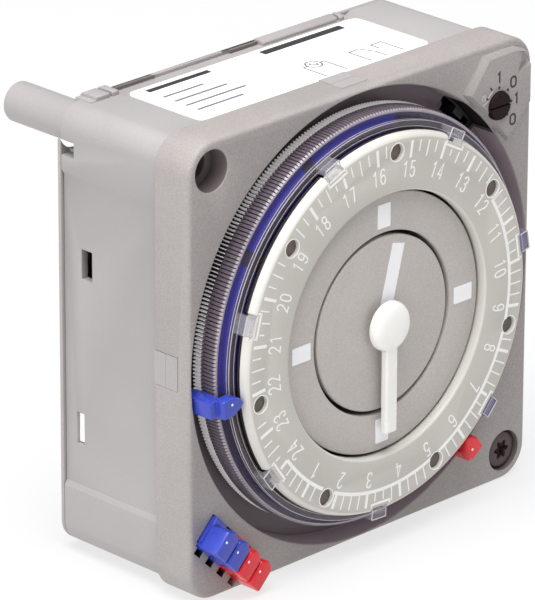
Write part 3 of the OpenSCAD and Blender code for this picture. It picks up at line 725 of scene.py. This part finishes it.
def make_housing():
    o = loft("housing_shell", [
        (panel_outline(0.0), SKIRT), (panel_outline(0.0), COVER - 0.18),
        (panel_outline(0.14), COVER - 0.04),
    ])
    flange = loft("flange", [(soft_square(34.45, 3.6), 6.3), (soft_square(34.45, 3.6), SKIRT + 0.5)])
    fuse(o, flange)
    cut(o, loft("cavity", [(soft_square(33.2, 2), 5), (soft_square(33.2, 2), COVER + 1)]))
    for side in (-1, 1):
        for d0, d1, z0, z1 in ((22, 24.2, 8.7, 13.4), (24, 25.5, -18, -12.9)):
            x = (side * BODY_HALF - 3, side * BODY_HALF + 3)
            cut(o, block("window", x, (z0, z1), (d0, d1)))
    cut(o, block("latch_notch", (-BODY_HALF - 1, -BODY_HALF + 2.4), (27.4, 29.9), (25.2, 30)))
    for x, z in SCREW_PLACES:
        end = quarter(0.45, 4)
        profile = [(TUBE_BORE_R, SKIRT), (TUBE_R, SKIRT), (TUBE_R, TUBE_END - 0.45)]
        profile += [(TUBE_R - (0.45 - i), TUBE_END - d) for i, d in reversed(
            [(0.45 - a, b) for a, b in end])][1:]
        profile += [(2.3, TUBE_END), (TUBE_BORE_R, TUBE_END - 0.15)]
        fuse(o, lathe("tube", profile, 64, (x, z)))
        cut(o, rod("bore", TUBE_BORE_R, 5, TUBE_END + 1, (x, z), 64))
    tidy(o)
    soften(o, 0.09)
    piece(o, "case", grey_satin, ("housing",))


def make_side_details():
    """What shows through the side windows, and the latches on the top's rear edge."""
    tab = block("window_tab", (-33.9, -33.4), (-17.8, -12.6), (24.3, 25.6))
    piece(tab, "case", tooth_white_glow, ())
    latch = loft("latch", [
        (rectangle(-31.2, -25.6, 34.2, 35.55), 25.4), (rectangle(-31.2, -25.6, 34.2, 35.7), 25.7),
        (rectangle(-31.2, -25.6, 34.2, 35.7), 28.4), (rectangle(-31.2, -25.6, 34.2, 35.3), 28.8)])
    cut(latch, block("gap", (-27.4, -26.9), (34, 37), (25, 30)))
    cut(latch, block("step", (-32, -30.2), (35.15, 37), (25, 30)))
    soften(latch, 0.08)
    piece(latch, "case", grey_satin, ())
    panel = loft("top_panel", [
        (rectangle(5.2, 22.5, 34.2, 34.95), 26.4), (rectangle(5.2, 22.5, 34.2, 35.2), 26.7),
        (rectangle(5.2, 22.5, 34.2, 35.2), 28.4), (rectangle(5.2, 22.5, 34.2, 35.0), 28.6)])
    cut(panel, loft("gap", [(rectangle(20.6, 21.1, 34, 37), 25), (rectangle(21.8, 22.3, 34, 37), 30)]))
    soften(panel, 0.06)
    piece(panel, "case", grey_satin, ())
    dark = merge("slot_shadows", *[
        block("slot", x, (34.6, 35.02), d) for x, d in (
            ((-24.2, -16.2), (27.65, 27.95)), ((-0.75, 5.0), (27.5, 27.95)))])
    piece(dark, "case", bore_shade, ())


make_housing()
make_side_details()


# ------------------------------------------------------------------ rear lid

def make_lid():
    edge = quarter(0.7, 5)
    stages = [(soft_square(BODY_HALF - 0.14, BODY_R - 0.14), COVER),
              (soft_square(BODY_HALF, BODY_R), COVER + 0.12)]
    stages += [
        (soft_square(BODY_HALF - i, BODY_R - i), BODY_DEPTH - d) for i, d in reversed(edge)
    ]
    o = loft("rear_lid", stages)
    fuse(o, loft("rim", [(soft_square(33.05, 2), COVER - 1.6), (soft_square(33.05, 2), COVER + 0.2)]))
    fuse(o, block("socket_wall", (-13.5, 13.5), (-25.5, -14.5), (17.9, COVER + 0.2)))
    hollow = loft("hollow", [(soft_square(31.8, 1.2), COVER - 3), (soft_square(31.8, 1.2), COVER)])
    cut(hollow, block("keep", (-13.5, 13.5), (-25.5, -14.5), (COVER - 4, COVER + 1)))
    cut(o, hollow)
    cut(o, block("socket", (-12.5, 12.5), (-24.5, -15.5), (17, 30)))
    for x, z in SCREW_PLACES:
        cut(o, rod("tube_hole", BODY_R + 0.3, COVER - 3, 30, (x, z), 64))
    for x in (-20.3, 2.2):
        cut(o, block("slot", (x - 4, x + 4), (BODY_HALF - 1, BODY_HALF + 1),
                     (COVER - 0.1, BODY_DEPTH - 0.5)))
    # Lead-in round the socket's mouth and a shallow panel above it
    lead = [(rectangle(-12.5, 12.5, -24.5, -15.5), BODY_DEPTH - 0.5),
            (rectangle(-13.1, 13.1, -25.1, -14.9), BODY_DEPTH + 0.1)]
    cut(o, loft("lead_in", lead))
    panel = [(soft_rectangle(-24, 24, -6, 24, 2), BODY_DEPTH - 0.35),
             (soft_rectangle(-24.2, 24.2, -6.2, 24.2, 2), BODY_DEPTH + 0.1)]
    cut(o, loft("panel", panel))
    tidy(o)
    soften(o, 0.08)
    piece(o, "case", grey_satin, ("rear_cover",))


make_lid()


# ------------------------------------------------------------------ label

def make_label():
    lo, hi = low("label"), high("label")
    d0, d1 = lo.y + BODY_DEPTH, hi.y + BODY_DEPTH
    bm = bmesh.new()
    outline = soft_rectangle(lo.x, hi.x, d0, d1, 1.5, 6)
    rings = []
    for z, inset in ((lo.z, 0), (hi.z - 0.04, 0), (hi.z, 0.04)):
        rings.append([
            bm.verts.new(point(x * (1 - inset / hi.x), d, z)) for x, d in outline])
    add_skin(bm, rings)
    sheet = to_object("label_sheet", bm)
    piece(sheet, "case", paper, ("label",))
    return hi.z


def on_top(name, z, mat, bars=(), lines=(), weight=0.2):
    """Printing on the label, placed by (x, depth) pairs."""
    def to_point(x, height, depth):
        return point(x, depth, height)

    bm = bmesh.new()
    for x0, x1, depth, tall in bars:
        add_sweep(bm, [(x0, depth), (x1, depth)], tall, z - 0.01, z + 0.02, to_point)
    for line in lines:
        add_sweep(bm, line, weight, z - 0.01, z + 0.02, to_point)
    piece(to_object(name, bm), "case", mat)


def make_label_print(z):
    heading = [(-21.2, -8.5, 24.0, 1.1), (2.5, 19.5, 24.0, 1.5)]
    on_top("label_heading", z, ink, heading)
    rules = [(-21.2, -13.0, 20.6, 0.5), (-21.2, -10.5, 18.2, 0.5), (-21.2, -9.0, 15.8, 0.5),
             (-21.2, -11.8, 13.4, 0.5)]
    on_top("label_rules", z, pale_ink, rules)
    circle_line = circle(1.3, 24, (4.6, 15.2))
    diagram = [
        circle_line + circle_line[:1], [(3.9, 15.2), (4.3, 15.8), (4.9, 14.6), (5.3, 15.2)],
        [(3.3, 15.2), (2.4, 15.2), (2.4, 10.4)], [(5.9, 15.2), (6.8, 15.2), (6.8, 10.4)],
        [(12.0, 10.4), (12.0, 15.2), (14.0, 15.2)], [(15.3, 10.4), (15.3, 12.8), (14.2, 15.2)],
        [(16.7, 15.2), (18.9, 15.2), (18.9, 10.4)], [(16.7, 15.2), (16.7, 13.4)],
    ]
    on_top("label_diagram", z, pale_ink, (), diagram, 0.26)


label_top = make_label()
make_label_print(label_top)


# ------------------------------------------------------------------ lettering

DIGITS = {
    "0": [(0.5, 1), (0.16, 0.93), (0, 0.76), (0, 0.24), (0.16, 0.07), (0.5, 0),
          (0.84, 0.07), (1, 0.24), (1, 0.76), (0.84, 0.93)],
    "1": [(0.15, 0.8), (0.6, 1), (0.6, 0)],
    "2": [(0, 0.76), (0.12, 0.93), (0.5, 1), (0.88, 0.93), (1, 0.76), (0.9, 0.55), (0, 0), (1, 0)],
    "3": [(0, 0.8), (0.12, 0.94), (0.5, 1), (0.88, 0.93), (0.97, 0.77), (0.85, 0.6), (0.45, 0.53),
          (0.88, 0.45), (1, 0.25), (0.88, 0.07), (0.5, 0), (0.12, 0.06), (0, 0.2)],
    "4": [(0.78, 0), (0.78, 1), (0, 0.28), (1, 0.28)],
    "5": [(0.92, 1), (0.12, 1), (0.06, 0.54), (0.5, 0.63), (0.88, 0.54), (1, 0.31), (0.88, 0.07),
          (0.5, 0), (0.12, 0.06), (0, 0.2)],
    "6": [(0.95, 0.82), (0.84, 0.94), (0.5, 1), (0.14, 0.92), (0, 0.7), (0, 0.24), (0.16, 0.06),
          (0.5, 0), (0.84, 0.06), (1, 0.24), (1, 0.37), (0.84, 0.54), (0.5, 0.6), (0.05, 0.48)],
    "7": [(0, 1), (1, 1), (0.35, 0)],
    "8": [(0.5, 0.54), (0.13, 0.62), (0.03, 0.78), (0.14, 0.94), (0.5, 1), (0.86, 0.94),
          (0.97, 0.78), (0.87, 0.62), (0.5, 0.54), (0.12, 0.45), (0, 0.25), (0.12, 0.06), (0.5, 0),
          (0.88, 0.06), (1, 0.25), (0.88, 0.45), (0.53, 0.53)],
    "9": [(0.05, 0.18), (0.16, 0.06), (0.5, 0), (0.86, 0.08), (1, 0.3), (1, 0.76), (0.84, 0.94),
          (0.5, 1), (0.16, 0.94), (0, 0.76), (0, 0.63), (0.16, 0.46), (0.5, 0.4), (0.95, 0.52)],
}


def add_number(bm, text, place, height, width, turn, front, back, weight):
    """A printed number; turn is anticlockwise seen from the front."""
    pitch = width * 1.42
    start = -(len(text) - 1) * pitch / 2
    w, h = width - weight, height - weight
    for i, digit in enumerate(text):
        path = spun([
            (start + i * pitch + (x - 0.5) * w, (y - 0.5) * h) for x, y in DIGITS[digit]
        ], turn, place)
        add_sweep(bm, path, weight, front, back, closed=digit == "0")


# ------------------------------------------------------------------ dial plate

def hour_angle(hour):
    return NOON + (hour - 12) * 15


def hole_angle(k):
    """The setting holes are spread evenly from noon."""
    return hour_angle(12 + k * 24 / HOLES)


def notch_angle(k):
    """Each notch is half way between two holes."""
    return hole_angle(k) + 180 / HOLES


def make_dial():
    r, face, bore = DIAL_R, DIAL_FRONT, BORE_R
    edge = [(r - 0.95, face), (r - 0.72, face + 0.05), (r - 0.5, face + 0.16),
            (r - 0.28, face + 0.38), (r - 0.14, face + 0.66), (r - 0.04, face + 1.0), (r, face + 1.35)]
    profile = edge + [
        (r, -3.45), (r - 0.15, -3.3), (24, -3.3), (24, 1.94), (22, 1.94), (22, -3.3),
        (bore, -3.3), (bore, face + 0.4), (bore + 0.1, face + 0.2), (bore + 0.3, face + 0.06),
        (bore + 0.58, face),
    ]
    o = lathe("dial", profile, 288)
    for k in range(HOLES):
        cut(o, rod("hole", HOLE_R, -7, -3, polar(HOLE_RING_R, hole_angle(k)), 32))
        notch = spun(rectangle(28.8, 31, -1.7, 1.7), notch_angle(k))
        cut(o, loft("notch", [(notch, -7), (notch, -3)]))
    tidy(o)
    soften(o, 0.07)
    o.data.materials.append(rim_white)
    paint(o, dial_grey, lambda x, d, z, n: n.y < -0.93 and d < -5.2)
    # Painted shade: the rim's lower part next to the shoulder is near black.
    paint(o, shade_black, lambda x, d, z, n: d > -4.05 and math.hypot(x, z) > r - 0.3)
    piece(o, "programme_disc", rim_white, ("dial_plate",))


def make_dial_print():
    bm = bmesh.new()
    face = DIAL_FRONT
    span = (face - 0.035, face + 0.02)
    holes = [hole_angle(k) for k in range(HOLES)]
    notches = [notch_angle(k) for k in range(HOLES)]

    def near(angle, places, gap):
        return any(abs((angle - p + 180) % 360 - 180) < gap for p in places)

    for q in range(96):
        hour = q / 4
        a = hour_angle(hour)
        whole, half = q % 4 == 0, q % 4 == 2
        width = 0.5 if whole else 0.22
        inner = 25.9 if whole else (26.0 if half else 26.75)
        inner = 26.1 if hour <= 12 else inner
        outer = 28.55
        if near(a, notches, 4.2):
            outer = 27.75
        if near(a, holes, 3.5):
            continue
        outline = spun(rectangle(inner, outer, -width / 2, width / 2), a)
        add_loft(bm, [(outline, span[0]), (outline, span[1])])
    # Frame round each notch
    for a in notches:
        for r0, r1, t0, t1 in ((28.0, 28.35, -2.1, 2.1), (28.3, 28.7, -2.1, -1.8),
                               (28.3, 28.7, 1.8, 2.1)):
            outline = spun(rectangle(r0, r1, t0, t1), a)
            add_loft(bm, [(outline, span[0] - 0.006), (outline, span[1])])
    # Ring round each hole
    for a in holes:
        centre = polar(HOLE_RING_R, a)
        add_lathe(bm, [(HOLE_R + 0.07, span[1]), (HOLE_R + 0.07, span[0]),
                       (HOLE_R + 0.2, span[0]), (HOLE_R + 0.2, span[1])], 36, centre)
    # Band over the night hours, left open at the holes
    start, end = hour_angle(0), hour_angle(12)
    steps = 120
    for i in range(steps):
        a0, a1 = start + (end - start) * i / steps, start + (end - start) * (i + 1) / steps
        if near((a0 + a1) / 2, holes, 2.6):
            continue
        outline = [polar(25.8, a0), polar(26.35, a0), polar(26.35, a1), polar(25.8, a1)]
        add_loft(bm, [(outline, span[0] + 0.012), (outline, span[1] + 0.01)])
    for hour in range(1, 25):
        a = hour_angle(hour)
        add_number(bm, str(hour), polar(24.1, a), 2.6, 1.12, a - 90, span[0], span[1], 0.23)
    o = to_object("dial_print", bm)
    piece(o, "programme_disc", white_print, ())


def make_hole_seats():
    """Dark seats at the bottom of the seven setting holes."""
    outlines = [
        circle(HOLE_R + 0.25, 32, polar(HOLE_RING_R, hole_angle(k)))
        for k in range(HOLES)
    ]
    o = prisms("hole_seats", outlines, -4.75, -4.6)
    piece(o, "programme_disc", seat_brown, ())


make_dial()
make_dial_print()
make_hole_seats()


# ------------------------------------------------------------------ programme ring

def toothed(tip, root, tip_share=0.33, root_share=0.42):
    """One round outline of TEETH teeth; the shares are half widths over the pitch."""
    points = []
    pitch = 360 / TEETH
    for i in range(TEETH):
        a = i * pitch
        points += [
            polar(root, a - root_share * pitch), polar(tip, a - tip_share * pitch),
            polar(tip, a + tip_share * pitch), polar(root, a + root_share * pitch),
        ]
    return points


def ring_solid(name, outer_stages, inner_profile):
    """A toothed outside joined to a plain bore: inner_profile is (radius, depth) pairs."""
    bm = bmesh.new()
    count = len(outer_stages[0][0])
    rings = [[bm.verts.new(point(x, d, z)) for x, z in outline] for outline, d in outer_stages]
    for r, d in inner_profile:
        bore = [polar(r, math.degrees(math.atan2(z, x))) for x, z in outer_stages[0][0]]
        rings.append([bm.verts.new(point(x, d, z)) for x, z in bore])
    for a, b in zip(rings, rings[1:] + rings[:1]):
        for i in range(count):
            j = (i + 1) % count
            bm.faces.new((a[i], a[j], b[j], b[i]))
    return to_object(name, bm)


def make_ribbed_ring():
    tip, root = RING_R, RING_R - 0.42
    front, split, cover = RING_FRONT, RING_SPLIT, RING_COVER
    inner_r = 31.85
    outer = [
        (toothed(tip - 0.35, root), front), (toothed(tip - 0.1, root), front + 0.3),
        (toothed(tip, root), front + 0.55), (toothed(tip, root), split),
    ]
    inner = [(31.4, split), (31.4, 1.95), (SHOULDER[0], 1.95), (SHOULDER[0], cover),
             (inner_r - 0.1, cover), (inner_r - 0.1, front)]
    o = ring_solid("ribbed_ring", outer, inner)
    o.data.materials.append(ring_smoke)
    paint(o, ring_edge, lambda x, d, z, n: d < front + 0.31)
    paint(o, channel_violet, lambda x, d, z, n: abs(d - cover) < 0.02)
    piece(o, "programme_disc", ring_smoke, ("programme_ring",), 25)


def make_rear_teeth():
    tip, root, split = RING_R, RING_R - 0.8, RING_SPLIT
    outer = [
        (toothed(tip - 0.2, root, 0.1, 0.18), split + 0.02),
        (toothed(tip, root, 0.1, 0.18), split + 0.2),
        (toothed(tip, root, 0.1, 0.18), 3.0),
        (toothed(tip - 0.15, root - 0.05, 0.1, 0.18), 3.15),
    ]
    inner = [(17.02, 3.15), (17.02, 1.97), (31.42, 1.97), (31.42, split + 0.02)]
    back = ring_solid("rear_teeth", outer, inner)
    back.data.materials.append(tooth_white_glow)
    # Painted shade: the gaps between the teeth are near black.
    paint(back, shade_black, lambda x, d, z, n: math.hypot(x, z) < root + 0.2)
    piece(back, "programme_disc", tooth_white_glow, ("rear_tooth_ring",), 25)


def make_clear_wall():
    """The clear wall of the shoulder, with thin light rings on its rims as painted highlights."""
    a, b = SHOULDER
    front, cover, level = RING_FRONT, RING_COVER, SMOKE_LEVEL
    wall = lathe("clear_wall", [
        (b - 0.5, cover), (b - 0.5, level), (b - 0.5, -2.9), (a - 0.35, -2.9), (a - 0.35, -3.0),
        (b - 0.15, -3.0), (b, -2.85), (b, level), (b, front), (31.75, front),
        (31.75, front + 0.08), (b - 0.1, front + 0.08), (b - 0.1, cover),
    ], 240)
    wall.data.materials.append(clear_wall)
    paint(wall, wall_smoke, lambda x, d, z, n: d < level)
    piece(wall, "programme_disc", clear_wall, ())
    rims = merge("clear_rim_glints", *[
        lathe("rim", [(r, d), (r - 0.09, d), (r - 0.09, d + 0.09), (r, d + 0.09)], 240)
        for r, d in ((b + 0.01, -2.96), (a + 0.02, -3.04), (b + 0.03, -2.5))])
    piece(rims, "programme_disc", clear_edge_glint, ())


def make_band():
    """The blue band under the clear wall, in three lengths and two steps."""
    low_band, high_band = [], []
    for start, end in ((15, 17.15), (17.45, 19.25), (19.55, 22)):
        a0, a1 = hour_angle(start), hour_angle(end)
        inside = list(reversed(arc(28.6, a0, a1, 24)))
        low_band.append(arc(31.65, a0, a1, 24) + inside)
        high_band.append(arc(30.3, a0, a1, 24) + inside)
    step = RING_FRONT + 0.14
    band = merge("band", prisms("band", low_band, step, RING_COVER - 0.02),
                 prisms("band", high_band, SMOKE_LEVEL + 0.03, step))
    piece(band, "programme_disc", band_blue, ("blue_band",))


def make_ring_tabs():
    """Clear hooks in the dial's notches; two of them get a darker violet colour, painted shade for the
    dark dish seen through them.
    """
    tabs, shaded_tabs = [], []
    for k in range(HOLES):
        group = shaded_tabs if k in (5, 6) else tabs
        a = notch_angle(k)
        foot = spun(rectangle(29.85, 30.9, -1.5, 1.5), a)
        group.append(loft("tab", [(foot, -5.0), (foot, -2.9)]))
        hook = spun(rectangle(28.95, 30.0, -1.5, 1.5), a)
        group.append(loft("tab", [(hook, -5.15), (hook, -4.3)]))
    tabs = merge("ring_tabs", *tabs)
    soften(tabs, 0.12)
    piece(tabs, "programme_disc", clear_tab, ())
    shaded_tabs = merge("shaded_tabs", *shaded_tabs)
    soften(shaded_tabs, 0.12)
    piece(shaded_tabs, "programme_disc", violet_tab, ())
    # Painted highlights: thin light strips along each tab's sides and edges.
    outlines = []
    for k in range(HOLES):
        a = notch_angle(k)
        for r0, r1, t0, t1 in ((28.95, 30.85, 1.4, 1.52), (28.95, 30.85, -1.52, -1.4),
                               (30.75, 30.88, -1.4, 1.4), (29.4, 29.47, -1.4, 1.4)):
            outlines.append(spun(rectangle(r0, r1, t0, t1), a))
    edges = prisms("tab_edge_glints", outlines, -5.2, -5.05)
    piece(edges, "programme_disc", clear_edge_glint, ())


make_ribbed_ring()
make_rear_teeth()
make_clear_wall()
make_band()
make_ring_tabs()


# ------------------------------------------------------------------ dial centre

def make_centre():
    front, r = CENTRE_FRONT, CENTRE_R
    profile = [
        (r - 0.35, front), (r - 0.1, front + 0.1), (r, front + 0.35), (r, -3.05), (15.9, -3.05),
        (15.9, 8.3), (14.6, 8.3), (14.6, -3.05), (14.35, -3.05), (14.35, front + 0.3),
        (14.45, front + 0.08), (14.75, front),
    ]
    o = lathe("centre_disc", profile, 240)
    piece(o, "case", centre_grey, ("centre_plate",))
    outlines = [
        spun(soft_rectangle(15.25, 19.05, -1.32, 1.32, 0.12, 2), 90 * k) for k in range(4)
    ]
    marks = prisms("hour_marks", outlines, front - 0.1, front + 0.02)
    piece(marks, "case", marker_white, ("hour_markers",))


def make_hour_disc():
    front, r = CENTRE_FRONT, HOUR_R
    profile = [
        (1.58, front), (r - 0.45, front), (r - 0.15, front + 0.1), (r, front + 0.3), (r, -3.0),
        (2.6, -3.0), (2.6, 13.5), (1.58, 13.5),
    ]
    o = lathe("hour_face", profile, 240)
    piece(o, "hour_disc", centre_grey, ("hour_disc",))
    outline = spun(soft_rectangle(1.5, 12.4, -1.3, 1.3, 0.1, 2), 90 - 15)
    bar = prisms("hour_bar", [outline], front - 0.06, front + 0.02)
    piece(bar, "hour_disc", marker_white, ())


def make_hand():
    r, front, back = HUB_R, HUB_FRONT, -5.0
    dome = [(0, front), (1.2, front + 0.02), (2.2, front + 0.1), (2.9, front + 0.24),
            (3.35, front + 0.45), (3.65, front + 0.75), (3.82, front + 1.1), (r, front + 1.5),
            (r, back - 0.1), (r - 0.1, back), (1.6, back), (0, back)]
    hub = lathe("hub", dome, 96)
    w, tip = 1.2, -HAND_TIP
    shape = [(-w, 0), (-w, tip + 0.15), (-w + 0.15, tip), (w - 0.15, tip), (w, tip + 0.15), (w, 0)]
    hand = loft("hand", [
        ([(x * 0.8, z * 0.992) for x, z in shape], -6.2), (shape, -5.98), (shape, -5.05),
        ([(x * 0.95, z) for x, z in shape], -5.0)])
    fuse(hub, hand)
    cut(hub, rod("socket", 1.0, front + 0.8, -4, (0, 0), 32))
    tidy(hub)
    soften(hub, 0.06, angle=40)
    hub.name = "long_hand"
    piece(hub, "minute_hand", white_gloss, ("minute_hand",), 40)


make_centre()
make_hour_disc()
make_hand()


# ------------------------------------------------------------------ riders

def rider_profile(name, frame_fn, inner, outer, head_front, head_back, arm_back, half, wedge=1.9,
                  plate=None, short=0.0):
    """An L-shaped rider: frame_fn maps (along, across) to a front-view place."""
    arm_inner = outer - 2.35
    w = half
    k = wedge / 1.9
    head_outer = outer - short
    head = [(inner, 0.0), (inner + 0.55 * k, 0.55 * w), (inner + wedge, w + 0.15),
            (head_outer, w + 0.15), (head_outer, -w - 0.15), (inner + wedge, -w - 0.15),
            (inner + 0.55 * k, -0.55 * w)]
    crown = [(x + (0.25 if x < head_outer else -0.15) * (1 if x > inner + 1 else 0.6), y * 0.88)
             for x, y in head]
    o = loft(name, [
        ([frame_fn(*p) for p in crown], head_front),
        ([frame_fn(*p) for p in head], head_front + 0.35),
        ([frame_fn(*p) for p in head], head_back),
    ])
    arm = [(arm_inner, -w), (outer, -w), (outer, w), (arm_inner, w)]
    foot = [(arm_inner + 0.5, -w), (outer - 0.2, -w), (outer - 0.2, w), (arm_inner + 0.5, w)]
    fuse(o, loft("arm", [
        ([frame_fn(*p) for p in arm], head_back - 0.3),
        ([frame_fn(*p) for p in arm], arm_back - 0.8),
        ([frame_fn(*p) for p in foot], arm_back),
    ]))
    if plate:
        base = [(inner - 0.7, -w - 0.15), (outer - 0.75, -w - 0.15), (outer - 0.75, w), (inner - 0.7, w)]
        fuse(o, loft("base", [
            ([frame_fn(*p) for p in base], plate), ([frame_fn(*p) for p in base], plate + 1.2)]))
    return o


def finish_rider(o, node, mat, highlight_place, head_front):
    """Softens a rider and adds a small white dot on its head, a painted highlight."""
    tidy(o)
    soften(o, 0.14, 3)
    piece(o, node, mat, (node,))
    highlight_dot = [(0, head_front - 0.08), (0.1, head_front - 0.07), (0.2, head_front),
           (0.2, head_front + 0.2), (0, head_front + 0.2)]
    piece(lathe(node + "_highlight_dot", highlight_dot, 16, highlight_place), node, marker_white)


def make_riders():
    for node, angle, mat in (("rider_blue", BLUE_ANGLE, blue), ("rider_red", RED_ANGLE, red)):
        def place(r, t, angle=angle):
            return spun([(r, t)], angle)[0]

        o = rider_profile(node + "_body", place, 29.8, 35.1, -4.9, -3.0, 2.4, 1.35, short=1.3)
        finish_rider(o, node, mat, place(32.2, -0.5), -4.9)
    for i, (node, mat) in enumerate((
        ("spare_rider_blue_1", blue), ("spare_rider_blue_2", blue),
        ("spare_rider_red_1", red), ("spare_rider_red_2", red),
    )):
        def place(r, t, u=STORE_U0 + i * PITCH):
            return store_point(u + t, r)

        o = rider_profile(node + "_body", place, 38.75, 43.3, -4.4, -0.8, 5.4, 1.35, 0.7, -1.0)
        finish_rider(o, node, mat, place(40.9, -0.8), -4.4)


make_riders()


# ------------------------------------------------------------------ selector and screw

def make_knob():
    x, z = KNOB
    profile = [(0, -1.35), (KNOB_R - 0.3, -1.35), (KNOB_R - 0.08, -1.27), (KNOB_R, -1.05),
               (KNOB_R, 1.2), (1.2, 1.2), (1.2, 9.9), (0, 9.9)]
    o = lathe("knob", profile, 64, KNOB)
    cut(o, block("slot", (x - 3, x + 3), (z - 0.13, z + 0.13), (-2, -0.8)))
    tidy(o)
    soften(o, 0.05)
    piece(o, "selector", knob_black, ("selector_knob",))


def make_legends():
    bm = bmesh.new()
    face = -PLATEAU_H
    span = (face - 0.03, face + 0.02)
    for text, x, z, width in (("1", 27.95, 30.75, 1.1), ("0", 31.07, 29.35, 1.4),
                              ("1", 31.8, 26.5, 1.1), ("0", 31.05, 23.35, 1.4)):
        add_number(bm, text, (x, z), 1.95, width, 0, span[0], span[1], 0.31)
    for x, z in ((27.98, 29.15), (29.88, 28.33), (30.69, 26.35), (29.85, 24.46)):
        outline = circle(0.24, 12, (x, z))
        add_loft(bm, [(outline, span[0]), (outline, span[1])])
    for x, z, a in ((26.24, 29.35, -55), (25.35, 28.0, -35)):
        outline = spun(rectangle(-0.32, 0.32, -0.15, 0.15), a, (x, z))
        add_loft(bm, [(outline, span[0]), (outline, span[1])])
    o = to_object("selector_legends", bm)
    piece(o, "case", dark_print)
    bm = bmesh.new()
    clock = circle(0.42, 16, (24.7, 28.3))
    add_sweep(bm, clock, 0.1, span[0], span[1], closed=True)
    add_sweep(bm, [(24.7, 28.65), (24.7, 28.3), (24.95, 28.3)], 0.09, span[0], span[1])
    curve = [(KNOB[0] + p[0], KNOB[1] + p[1]) for p in arc(2.95, 118, 145, 6)]
    add_sweep(bm, curve, 0.16, span[0], span[1])
    add_sweep(bm, [(24.5, 27.1), (25.7, 27.65)], 0.14, span[0], span[1])
    piece(to_object("selector_marks", bm), "case", light_ink)


def make_screw():
    front = low("fixing_screw").y + BODY_DEPTH
    end = high("fixing_screw").y + BODY_DEPTH
    profile = [(0, front - 0.2), (2.2, front - 0.2), (2.75, front - 0.08), (3.0, front + 0.2),
               (3.08, front + 0.5), (3.08, 3.58), (1.6, 3.58), (1.6, TUBE_END)]
    pitch = 0.7
    for i in range(int((end - TUBE_END) / pitch)):
        d = TUBE_END + i * pitch
        profile += [(1.6, d + 0.05), (1.95, d + 0.3), (1.95, d + 0.42), (1.6, d + 0.66)]
    profile += [(1.6, end - 0.3), (1.3, end), (0, end)]
    o = lathe("screw", profile, 48, (SCREW, -SCREW))
    lobes = []
    for i in range(72):
        a = 360 * i / 72
        lobes.append(polar(1.3 + 0.3 * math.cos(math.radians(6 * a)), a))
    outline = [(SCREW + x, -SCREW + z) for x, z in lobes]
    small = [(SCREW + x * 0.7, -SCREW + z * 0.7) for x, z in lobes]
    cut(o, loft("drive", [(outline, front - 1), (outline, front + 0.9), (small, front + 1.2)]))
    tidy(o)
    soften(o, 0.06, angle=40)
    piece(o, "case", black_steel, ("fixing_screw",))


make_knob()
make_legends()
make_screw()
